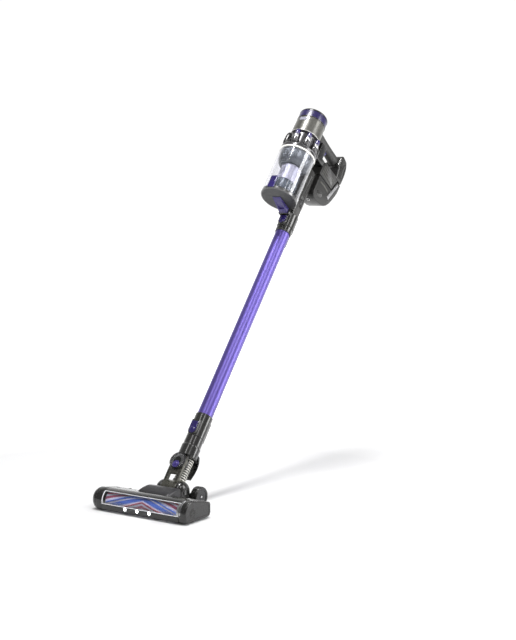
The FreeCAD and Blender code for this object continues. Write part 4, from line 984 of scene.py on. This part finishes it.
def build_cap(sizes):
    cap = turned([(35.3, 1055.3), (37.6, 1055.3), (38.3, 1056), (38.3, 1077), (37.6, 1079.6), (35.4, 1082.1),
                  (31, 1084.6), (26.3, 1085.6), (12, 1086.8), (0, 1087), (0, 1084), (25.3, 1082.5), (33.3, 1080.5),
                  (35.3, 1077)], (0, CUP_BACK, 0), steps=128)
    paint(cap, "cap indigo")
    rim = turned([(37.9, 1075.6), (38.7, 1076), (38.8, 1077.4), (38.0, 1080), (35.8, 1082.4), (31, 1084.8), (26, 1085.9),
                  (26, 1085), (34, 1081), (37, 1077)], (0, CUP_BACK, 0), steps=128)
    paint(rim, "black shell")
    band = turned([(37.4, 1055.4), (38.9, 1055.4), (39.0, 1055.8), (38.9, 1057.4), (37.4, 1057.4)],
                  (0, CUP_BACK, 0), steps=128)
    paint(band, "charcoal gloss")
    settle(join(cap, rim, band), "cap_crown", "filter", ["filter_cap"])


def build_cup(sizes):
    wall = turned([(46.7, 816.2), (48.7, 816.2), (48.7, 944.7), (46.7, 944.7)], (0, CUP_BACK, 0), steps=144)
    paint(wall, "clear cup")
    settle(wall, "cup_shell", "dust_cup", ["cup_wall"])
    ring = turned([(39.7, 945.1), (48.9, 945.1), (49.5, 945.7), (49.5, 949.1), (48.9, 949.7), (39.7, 949.7)],
                  (0, CUP_BACK, 0), steps=128)
    settle(ring, "cup_ring", "dust_cup", ["seal_ring"], "seal white")
    bowl = turned([(44.7, 945), (44.4, 934), (43.2, 924), (40.2, 915), (35.8, 908.6), (31, 905.2), (27, 905.0),
                   (27, 907), (30, 907.3), (34.6, 910.4), (38.6, 916.4), (41.3, 924.6), (42.4, 934), (42.7, 945)],
                  (0, CUP_BACK, 0), steps=128)
    paint(bowl, "shroud grey")
    screen = turned([(25.8, 858), (27.3, 858), (27.3, 859.4), (27, 859.8), (27, 903.4), (27.3, 903.8), (27.3, 904.9),
                     (25.8, 904.9)], (0, CUP_BACK, 0), steps=128)
    paint(screen, "screen mesh")
    settle(join(bowl, screen), "shroud_bowl", "dust_cup", ["cyclone_shroud"])
    base = turned([(26, 816.6), (28.1, 816.6), (28.5, 817.2), (28.5, 856), (27.9, 856.8), (26, 856.8)],
                  (0, CUP_BACK, 0), steps=96)
    fins = turned_copies(block((-0.5, CUP_BACK + 28.2, 822), (0.5, CUP_BACK + 29.3, 852), 0.3, 2), 12, (0, CUP_BACK, 0))
    chute = turned([(6.8, 846), (8, 846), (8, 900.6), (7.6, 901), (6.8, 901)], (0, CUP_BACK + 37.6, 0), steps=64)
    for piece in (base, fins, chute):
        paint(piece, "tube blue grey")
    settle(join(base, fins, chute), "inner_tubes", "dust_cup", ["dust_tubes"])


def build_lid(sizes):
    lid = turned([(0, 807), (44.4, 807), (45, 806.99), (47.6, 807.4), (48.7, 808.6), (48.7, 815.2), (48.2, 816),
                  (46.7, 816), (46.7, 813), (0, 813)], (0, CUP_BACK, 0), steps=128)
    edit(lid)
    bpy.ops.mesh.dissolve_limited(angle_limit=0.001)
    done()
    paint(lid, "lid grey")
    # The rim is painted lighter and glossier than the plate: painted highlight along the lid's rim.
    rim = turned([(45.4, 807), (47.7, 807.2), (48.8, 808.5), (48.8, 815), (48.2, 815.8), (47, 815.8), (47, 809)],
                 (0, CUP_BACK, 0), steps=128)
    lid = join(lid, paint(rim, "lid rim"))
    settle(lid, "lid_plate", "cup_lid", ["cup_lid"])
    half = sizes.strap_width / MM / 2
    wedge = plate([(-82.4, 806.9), (-82.4, 805.5), (-38, 795.4), (-33, 793.6), (-32.4, 793.6), (-32.4, 806.9)],
                  -half, half)
    round_face(wedge, lambda face: face.normal.z < -0.5, 0.8, 3)
    carve(wedge, block((-half + 4, -72, 795), (half - 4, -44, 801.3), 1.2))
    paint(wedge, "violet satin")
    knuckle = rod(4.2, (-half, -28, 797), 2 * half, "X", sides=48, edge=0.5)
    bridge = block((-half, -32.3, 797), (half, -26, 806.9), 0.6)
    fuse(knuckle, bridge)
    carve(knuckle, rod(1.66, (-30, -28, 797), 60, "X", sides=32))
    paint(knuckle, "black shell")
    settle(join(wedge, knuckle), "lid_strap_arm", "cup_lid", ["lid_strap"])
    front = CUP_BACK - 48.7
    tab = plate([(front - 0.4, 810), (front - 3.5, 809), (front - 3.2, 844), (front - 0.4, 847)], -9.2, 9.2)
    carve(tab, rod(49.05, (0, CUP_BACK, 797), 80, sides=144))
    round_face(tab, lambda face: face.normal.y < -0.9, 0.9, 3)
    bars = [block((-7.5, front - 4.0, 822 + 5 * step), (7.5, front - 2.9, 824 + 5 * step), 0.4, 2) for step in range(4)]
    settle(join(tab, *bars), "latch_tab", "lid_latch", ["lid_latch"], "indigo gloss")


def build_handle(sizes):
    radius, start, end = sizes.grip_radius / MM, -31.2, 78
    outer = [(radius - 0.8, start), (radius, start + 0.8)]
    for step in range(1, 16):
        along = start + (end - start) * step / 16
        outer.append((radius - 0.9 * math.sin(math.pi * step / 16) ** 2, along))
    outer += [(radius, end - 0.8), (radius - 0.8, end)]
    bar = turned(outer + [(radius - 3.4, end), (radius - 3.4, start)], (0, 0, 1053), "Y", 96)
    carve(bar, block((-6.4, 7.5, 1033), (6.4, 31, 1053), 0.6))
    fin = block((-5, -15, 1038.2), (5, -13.8, 1040), 0.4, 2)
    fins = [copied(fin, Matrix.Translation((0, 50 + 3.4 * step, 0.6))) for step in range(8)]
    remove(fin)
    twin = copied(bar, Matrix.Identity(4))
    for piece, side, name in ((bar, -1, "left"), (twin, 1, "right")):
        edit(piece)
        bpy.ops.mesh.bisect(plane_co=(0.12 * side, 0, 0), plane_no=(side, 0, 0), use_fill=True, clear_inner=True)
        done()
        if side < 0:
            piece = join(piece, *fins)
        settle(piece, f"grip_shell_{name}", "hand_unit", [f"grip_{name}"], "soft touch")
    key = plate([(8, 1042), (8.5, 1034), (11, 1031), (14, 1030.2), (18, 1029.6), (22, 1029), (26, 1030.4), (29, 1033),
                 (30.5, 1042)], -6, 6, edge=1.3)
    settle(key, "trigger_key", "trigger", ["trigger"], "indigo gloss")


def build_rear(sizes):
    half = 23
    foot = plate([(78.1, 1038.5), (78.1, 1067.5), (84, 1076), (96, 1074.6), (107, 1072), (112.2, 1064.9), (116.6, 1057),
                  (119.6, 1046), (121, 1032), (120.8, 1018), (120, 1003.5), (88, 1003.5), (88, 1016), (84, 1034)],
                 -half, half)
    soften(foot, 5, 5, 20)
    for side in (-1, 1):
        carve(foot, plate([(104, 1063), (110.5, 1057), (113.6, 1046), (115, 1032), (114.6, 1010), (110, 1010),
                           (105, 1036)], side * half - 0.5, side * half + 0.5, edge=0.3))
    paint(foot, "charcoal gloss")
    settle(foot, "handle_foot", "hand_unit", ["foot_shell"])
    dock = plate([(16.4, 988), (22, 1004), (87.8, 1008), (87.8, 1003.2), (100, 1003.2), (88.5, 965), (18, 962),
                  (16.4, 966)], -half, half, edge=1.8)
    riser = block((-21, -20, 986), (21, 24, 1003.5), 2)
    fuse(riser, block((-21, -20, 998), (21, 6, 1037.9), 2))
    ridges = [paint(riser, "black shell")]
    for side in (-1, 1):
        for step in range(4):
            low = 967 + 7.5 * step
            outline = [(24, low + 3), (82 + 2.6 * step, low - 2), (82.6 + 2.6 * step, low - 0.2), (24, low + 5)]
            ridges.append(plate(outline, side * half - 0.8, side * half + 0.55, edge=0.35, segments=2))
        leaf = [(30, 1003), (50, 1003.5), (66, 994), (84, 974), (78, 970.5), (62, 976), (44, 988)]
        ridges.append(paint(plate(leaf, side * half - 0.5, side * half + 0.3, edge=0.3), "lid rim"))
    paint(dock, "charcoal satin")
    for ridge in ridges:
        if not ridge.data.materials:
            paint(ridge, "motor grey")
    settle(join(dock, *ridges), "dock_shell", "hand_unit", ["battery_dock"])


PACK = [(20, 960), (89.3, 962.5), (101.2, 999), (104, 1000), (119, 1000), (118.8, 990), (118, 975), (114.6, 961),
        (110, 947), (106, 936), (101, 925), (94, 914.6), (85, 906), (72, 899.8), (58, 896.5), (46, 894.6), (36, 894),
        (28.4, 896.4), (23, 901), (20.9, 908)]


def build_pack(sizes):
    half = 23
    case = plate(PACK, -half, half)
    soften(case, 2.4, 4, 18)
    room = [(101.7, 996), (111.7, 994), (92.2, 931), (82.2, 935.2)]
    for side in (-1, 1):
        near, far = sorted((side * (half - 3.2), side * (half + 2)))
        carve(case, plate(room, near, far))
    carve(case, rod(5.1, (0, 42, 890), 14, sides=40))
    ovals = []
    for side in (-1, 1):
        outline = [(46 + 15 * math.cos(a), 918 + 9 * math.sin(a) + 3 * math.cos(a)) for a in
                   (FULL * step / 36 for step in range(36))]
        oval = plate(outline, side * half - 0.8, side * half + 0.7, edge=0.7)
        ovals.append(paint(oval, "charcoal gloss"))
        arch = [(30, 944), (34, 950), (56, 952), (74, 950), (77, 944), (70, 946), (52, 947), (38, 945)]
        ovals.append(paint(plate(arch, side * half - 0.8, side * half + 0.5, edge=0.3), "motor grey"))
    paint(case, "charcoal satin")
    settle(join(case, *ovals), "pack_case", "battery", ["battery_case"])
    for side, name in ((-1, "left"), (1, "right")):
        near, far = sorted((side * (half - 1.2), side * (half + 0.8)))
        strip = plate([(102.4, 995), (111, 993), (91.5, 932), (83, 936)], near, far, edge=0.5)
        lines = []
        for step in range(18):
            share = step / 18
            low = (84.6 + 18.6 * share, 938.2 + 56 * share)
            bar = [low, (low[0] + 7.2, low[1] - 1.9), (low[0] + 7.7, low[1] - 0.5), (low[0] + 0.5, low[1] + 1.4)]
            top = sorted((side * (half + 0.6), side * (half + 1.35)))
            lines.append(plate(bar, *top, edge=0.25, segments=1))
        settle(join(strip, *lines), f"pack_key_{name}", f"battery_button_{name}", [f"battery_button_{name}"],
               "silver satin")


INNER = {
    "brush_motor": "turned steel", "drive_belt": "tyre black", "drive_pulley": "turned steel",
    "brush_bearings": "turned steel", "felt_strip": "felt", "neck_pins": "turned steel",
    "lid_hinge_pin": "turned steel", "motor_can": "cast alloy", "impeller": "cast alloy",
    "circuit_boards": "circuit board", "battery_cells": "cell sleeve", "charge_port": "turned steel",
    "exhaust_filter": "filter paper",
}


def dress_inner(sizes):
    """Gives every CAD node that still shows its own finish."""
    for name, finish in INNER.items():
        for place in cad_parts[name].material_slots:
            place.material = bpy.data.materials[finish]


# ---------------------------------------------------------------- stage
def build_stage(sizes):
    deselect()
    bpy.ops.mesh.primitive_circle_add(vertices=96, radius=30, fill_type="NGON")
    floor = bpy.context.object
    floor.name = "studio_floor"
    tree, shader = blank("pale floor", Base_Color=(0.88, 0.88, 0.885, 1), Roughness=0.75)
    spot = node(tree, "ShaderNodeNewGeometry").outputs["Position"]
    away = node(tree, "ShaderNodeVectorMath", {0: spot}, operation="LENGTH").outputs["Value"]
    shader.inputs["Emission Color"].default_value = (1, 1, 1, 1)
    tree.links.new(spread(tree, away, 0.0, 1.1, 0.8, 2.0), shader.inputs["Emission Strength"])
    floor.data.materials.append(bpy.data.materials["pale floor"])
    turn, tilt = math.radians(34.45), math.radians(5.92)
    back_way = Vector((math.sin(turn) * math.cos(tilt), -math.cos(turn) * math.cos(tilt), math.sin(tilt)))
    world = bpy.context.scene.world or bpy.data.worlds.new("studio")
    bpy.context.scene.world = world
    world.use_nodes = True
    tree = world.node_tree
    back = tree.nodes["Background"]
    back.inputs["Color"].default_value = (1, 1, 1, 1)
    side = node(tree, "ShaderNodeTexCoord").outputs["Generated"]
    behind = node(tree, "ShaderNodeVectorMath", {0: side, 1: -back_way}, operation="DOT_PRODUCT").outputs["Value"]
    tree.links.new(spread(tree, behind, 0.27, 1.05, 0.3, 0.85), back.inputs["Strength"])
    for name, place, aim, size, power in (
        ("overhead softbox", (-0.1, 0.2, 2.6), (0.0, 0.4, 0.2), (0.45, 0.45), 36),
        ("front strip", (0.0, -1.0, 2.3), (0, 0.3, 0.4), (0.25, 1.4), 9),
        ("front soft", (1.7, -0.3, 2.3), (0, 0.35, 0.4), (1.0, 0.8), 16),
        ("right strip", (2.2, 1.5, 1.2), (0, 0.4, 0.5), (0.6, 2.4), 40),
    ):
        deselect()
        bpy.ops.object.light_add(type="AREA", location=place)
        lamp = bpy.context.object
        lamp.name = name
        lamp.data.shape = "RECTANGLE"
        lamp.data.size, lamp.data.size_y = size
        lamp.data.energy = power
        lamp.rotation_euler = (Vector(aim) - Vector(place)).to_track_quat("-Z", "Y").to_euler()
    deselect()
    bpy.ops.object.camera_add(location=(1.9327, -2.4063, 0.7663))
    camera = bpy.context.object
    camera.rotation_euler = (-back_way).to_track_quat("-Z", "Y").to_euler()
    camera.data.sensor_width = 36
    camera.data.lens = 76.217
    camera.data.clip_start, camera.data.clip_end = 0.05, 200
    bpy.context.scene.camera = camera
    bpy.context.scene.view_settings.view_transform = "Standard"


# ---------------------------------------------------------------- settings
def length(name, description, default, low, high):
    return FloatProperty(
        name=name, description=description, default=default, min=low, max=high, unit="LENGTH", subtype="DISTANCE")


def count(name, description, default, low, high):
    return IntProperty(name=name, description=description, default=default, min=low, max=high)


def color(name, description, default):
    return FloatVectorProperty(
        name=name, description=description, default=default, size=3, min=0, max=1, subtype="COLOR")


class VacuumSizes(bpy.types.PropertyGroup):
    """Sizes and counts a user may change."""
    wand_radius: length("Wand radius", "Outside radius of the tube wand", half_width("wand_tube"), 0.01, 0.03)
    wheel_radius: length("Wheel radius", "Radius of the two rear wheels", 0.024, 0.015, 0.03)
    grip_radius: length("Grip radius", "Radius of the handle bar at its ends", 0.0145, 0.01, 0.02)
    strap_width: length("Strap width", "Width of the strap that hinges the lid", 2 * half_width("lid_strap"), 0.01, 0.04)
    bellows_folds: count("Bellows folds", "Folds of the neck bellows", 11, 6, 20)
    knob_ribs: count("Knob ribs", "Radial ribs on the steering knob", 26, 8, 48)
    hump_ribs: count("Hump ribs", "Fine ribs across the cover of the head", 34, 10, 70)
    tufts_per_row: count("Tufts per row", "Bristle tufts in each row of the roller", 84, 20, 120)


class VacuumColors(bpy.types.PropertyGroup):
    """Colours a user may change."""
    charcoal: color("Charcoal", "Main moulded plastic", (0.028, 0.0275, 0.0265))
    purple: color("Wand purple", "Anodised tube", (0.125, 0.092, 0.37))
    indigo: color("Indigo", "Keys, latch, cap and cyclone tips", (0.017, 0.009, 0.105))
    violet: color("Violet", "Lid strap and knob badge", (0.045, 0.03, 0.19))
    motor_grey: color("Motor grey", "Motor housing", (0.105, 0.103, 0.093))
    seal_white: color("Seal white", "Ring round the top of the cup", (0.86, 0.85, 0.80))
    brush_base: color("Pile", "Base colour of the brush sleeve", (0.72, 0.72, 0.88))
    brush_blue: color("Brush blue", "Blue bands and bristles", (0.06, 0.16, 0.66))
    brush_red: color("Brush red", "Dark red bands and bristles", (0.33, 0.05, 0.10))


class VACUUM_OT_finishes(bpy.types.Operator):
    """Makes every finish of the vacuum from the colours in the panel."""
    bl_idname = "vacuum.finishes"
    bl_label = "Finishes"
    bl_options = {"REGISTER", "UNDO"}

    def execute(self, context):
        make_finishes(context.scene.vacuum_colors)
        return {"FINISHED"}


class VACUUM_OT_sole(bpy.types.Operator):
    """Models the open tray under the brush with its comb and sliding ribs."""
    bl_idname = "vacuum.sole"
    bl_label = "Sole tray"
    bl_options = {"REGISTER", "UNDO"}

    def execute(self, context):
        sizes = context.scene.vacuum_sizes
        build_sole(sizes)
        return {"FINISHED"}


class VACUUM_OT_lamps(bpy.types.Operator):
    """Models the three lamps in the front lip."""
    bl_idname = "vacuum.lamps"
    bl_label = "Headlamps"
    bl_options = {"REGISTER", "UNDO"}

    def execute(self, context):
        sizes = context.scene.vacuum_sizes
        build_lamps(sizes)
        return {"FINISHED"}


class VACUUM_OT_deck(bpy.types.Operator):
    """Models the deck behind the brush and the ribbed cover on it."""
    bl_idname = "vacuum.deck"
    bl_label = "Deck"
    bl_options = {"REGISTER", "UNDO"}

    def execute(self, context):
        sizes = context.scene.vacuum_sizes
        build_deck(sizes)
        build_hump(sizes)
        return {"FINISHED"}


class VACUUM_OT_window(bpy.types.Operator):
    """Models the clear curved window with its pale edges."""
    bl_idname = "vacuum.window"
    bl_label = "Brush window"
    bl_options = {"REGISTER", "UNDO"}

    def execute(self, context):
        sizes = context.scene.vacuum_sizes
        build_window(sizes)
        return {"FINISHED"}


class VACUUM_OT_caps(bpy.types.Operator):
    """Models both end caps and the dial that locks the roller."""
    bl_idname = "vacuum.caps"
    bl_label = "End caps"
    bl_options = {"REGISTER", "UNDO"}

    def execute(self, context):
        sizes = context.scene.vacuum_sizes
        build_caps(sizes)
        return {"FINISHED"}


class VACUUM_OT_roller(bpy.types.Operator):
    """Models the roller: core, pile sleeve and rows of bristle tufts."""
    bl_idname = "vacuum.roller"
    bl_label = "Roller"
    bl_options = {"REGISTER", "UNDO"}

    def execute(self, context):
        sizes = context.scene.vacuum_sizes
        build_brush(sizes)
        return {"FINISHED"}


class VACUUM_OT_pivot(bpy.types.Operator):
    """Models the domed ends of the pivot with the wheel arms."""
    bl_idname = "vacuum.pivot"
    bl_label = "Pivot"
    bl_options = {"REGISTER", "UNDO"}

    def execute(self, context):
        sizes = context.scene.vacuum_sizes
        build_pivot(sizes)
        return {"FINISHED"}


class VACUUM_OT_wheels(bpy.types.Operator):
    """Models the two rear wheels."""
    bl_idname = "vacuum.wheels"
    bl_label = "Wheels"
    bl_options = {"REGISTER", "UNDO"}

    def execute(self, context):
        sizes = context.scene.vacuum_sizes
        build_wheels(sizes)
        return {"FINISHED"}


class VACUUM_OT_neck(bpy.types.Operator):
    """Models the swivelling neck: yoke, knob, bellows, barrel and rear guard."""
    bl_idname = "vacuum.neck"
    bl_label = "Neck"
    bl_options = {"REGISTER", "UNDO"}

    def execute(self, context):
        sizes = context.scene.vacuum_sizes
        build_neck_lower(sizes)
        build_bellows(sizes)
        build_neck_upper(sizes)
        return {"FINISHED"}


class VACUUM_OT_wand(bpy.types.Operator):
    """Models the tube wand, its sleeves, rails and release key."""
    bl_idname = "vacuum.wand"
    bl_label = "Wand"
    bl_options = {"REGISTER", "UNDO"}

    def execute(self, context):
        sizes = context.scene.vacuum_sizes
        build_wand(sizes)
        return {"FINISHED"}


class VACUUM_OT_socket(bpy.types.Operator):
    """Models the inlet socket, its key and the spine duct behind the cup."""
    bl_idname = "vacuum.socket"
    bl_label = "Socket and spine"
    bl_options = {"REGISTER", "UNDO"}

    def execute(self, context):
        sizes = context.scene.vacuum_sizes
        build_socket(sizes)
        build_duct(sizes)
        return {"FINISHED"}


class VACUUM_OT_cyclone(bpy.types.Operator):
    """Models the ring of seven cyclones over the cup."""
    bl_idname = "vacuum.cyclone"
    bl_label = "Cyclone ring"
    bl_options = {"REGISTER", "UNDO"}

    def execute(self, context):
        sizes = context.scene.vacuum_sizes
        build_collar(sizes)
        return {"FINISHED"}


class VACUUM_OT_motor(bpy.types.Operator):
    """Models the motor housing, its display and the filter cap."""
    bl_idname = "vacuum.motor"
    bl_label = "Motor unit"
    bl_options = {"REGISTER", "UNDO"}

    def execute(self, context):
        sizes = context.scene.vacuum_sizes
        build_motor(sizes)
        build_cap(sizes)
        return {"FINISHED"}


class VACUUM_OT_cup(bpy.types.Operator):
    """Models the clear cup, seal ring, shroud and inner tubes."""
    bl_idname = "vacuum.cup"
    bl_label = "Dust cup"
    bl_options = {"REGISTER", "UNDO"}

    def execute(self, context):
        sizes = context.scene.vacuum_sizes
        build_cup(sizes)
        return {"FINISHED"}


class VACUUM_OT_lid(bpy.types.Operator):
    """Models the lid with its strap and the latch tab."""
    bl_idname = "vacuum.lid"
    bl_label = "Cup lid"
    bl_options = {"REGISTER", "UNDO"}

    def execute(self, context):
        sizes = context.scene.vacuum_sizes
        build_lid(sizes)
        return {"FINISHED"}


class VACUUM_OT_handle(bpy.types.Operator):
    """Models the grip, the trigger and the handle's foot."""
    bl_idname = "vacuum.handle"
    bl_label = "Handle"
    bl_options = {"REGISTER", "UNDO"}

    def execute(self, context):
        sizes = context.scene.vacuum_sizes
        build_handle(sizes)
        build_rear(sizes)
        return {"FINISHED"}


class VACUUM_OT_battery(bpy.types.Operator):
    """Models the battery pack and its two release strips."""
    bl_idname = "vacuum.battery"
    bl_label = "Battery"
    bl_options = {"REGISTER", "UNDO"}

    def execute(self, context):
        sizes = context.scene.vacuum_sizes
        build_pack(sizes)
        return {"FINISHED"}


class VACUUM_OT_inner(bpy.types.Operator):
    """Gives the frame's own pieces that still show their finishes."""
    bl_idname = "vacuum.inner"
    bl_label = "Inner parts"
    bl_options = {"REGISTER", "UNDO"}

    def execute(self, context):
        sizes = context.scene.vacuum_sizes
        dress_inner(sizes)
        return {"FINISHED"}


class VACUUM_OT_stage(bpy.types.Operator):
    """Sets the floor, the studio lamps and the camera."""
    bl_idname = "vacuum.stage"
    bl_label = "Stage"
    bl_options = {"REGISTER", "UNDO"}

    def execute(self, context):
        sizes = context.scene.vacuum_sizes
        build_stage(sizes)
        return {"FINISHED"}


STEPS = (
    VACUUM_OT_finishes,
    VACUUM_OT_sole,
    VACUUM_OT_lamps,
    VACUUM_OT_deck,
    VACUUM_OT_window,
    VACUUM_OT_caps,
    VACUUM_OT_roller,
    VACUUM_OT_pivot,
    VACUUM_OT_wheels,
    VACUUM_OT_neck,
    VACUUM_OT_wand,
    VACUUM_OT_socket,
    VACUUM_OT_cyclone,
    VACUUM_OT_motor,
    VACUUM_OT_cup,
    VACUUM_OT_lid,
    VACUUM_OT_handle,
    VACUUM_OT_battery,
    VACUUM_OT_inner,
    VACUUM_OT_stage,
)


class VACUUM_PT_panel(bpy.types.Panel):
    """Lists the sizes, the colours and one button for each step."""
    bl_idname = "VACUUM_PT_panel"
    bl_label = "Stick Vacuum"
    bl_space_type = "VIEW_3D"
    bl_region_type = "UI"
    bl_category = "Vacuum"

    def draw(self, context):
        for settings in (context.scene.vacuum_sizes, context.scene.vacuum_colors):
            column = self.layout.column(align=True)
            for name in type(settings).__annotations__:
                column.prop(settings, name)
        column = self.layout.column()
        for step in STEPS:
            column.operator(step.bl_idname)


CLASSES = (VacuumSizes, VacuumColors, *STEPS, VACUUM_PT_panel)


def register():
    for item in CLASSES:
        bpy.utils.register_class(item)
    bpy.types.Scene.vacuum_sizes = PointerProperty(type=VacuumSizes)
    bpy.types.Scene.vacuum_colors = PointerProperty(type=VacuumColors)


def unregister():
    del bpy.types.Scene.vacuum_colors
    del bpy.types.Scene.vacuum_sizes
    for item in reversed(CLASSES):
        bpy.utils.unregister_class(item)


def main():
    register()
    for step in STEPS:
        group, name = step.bl_idname.split(".")
        getattr(getattr(bpy.ops, group), name)()


if __name__ == "__main__":
    main()
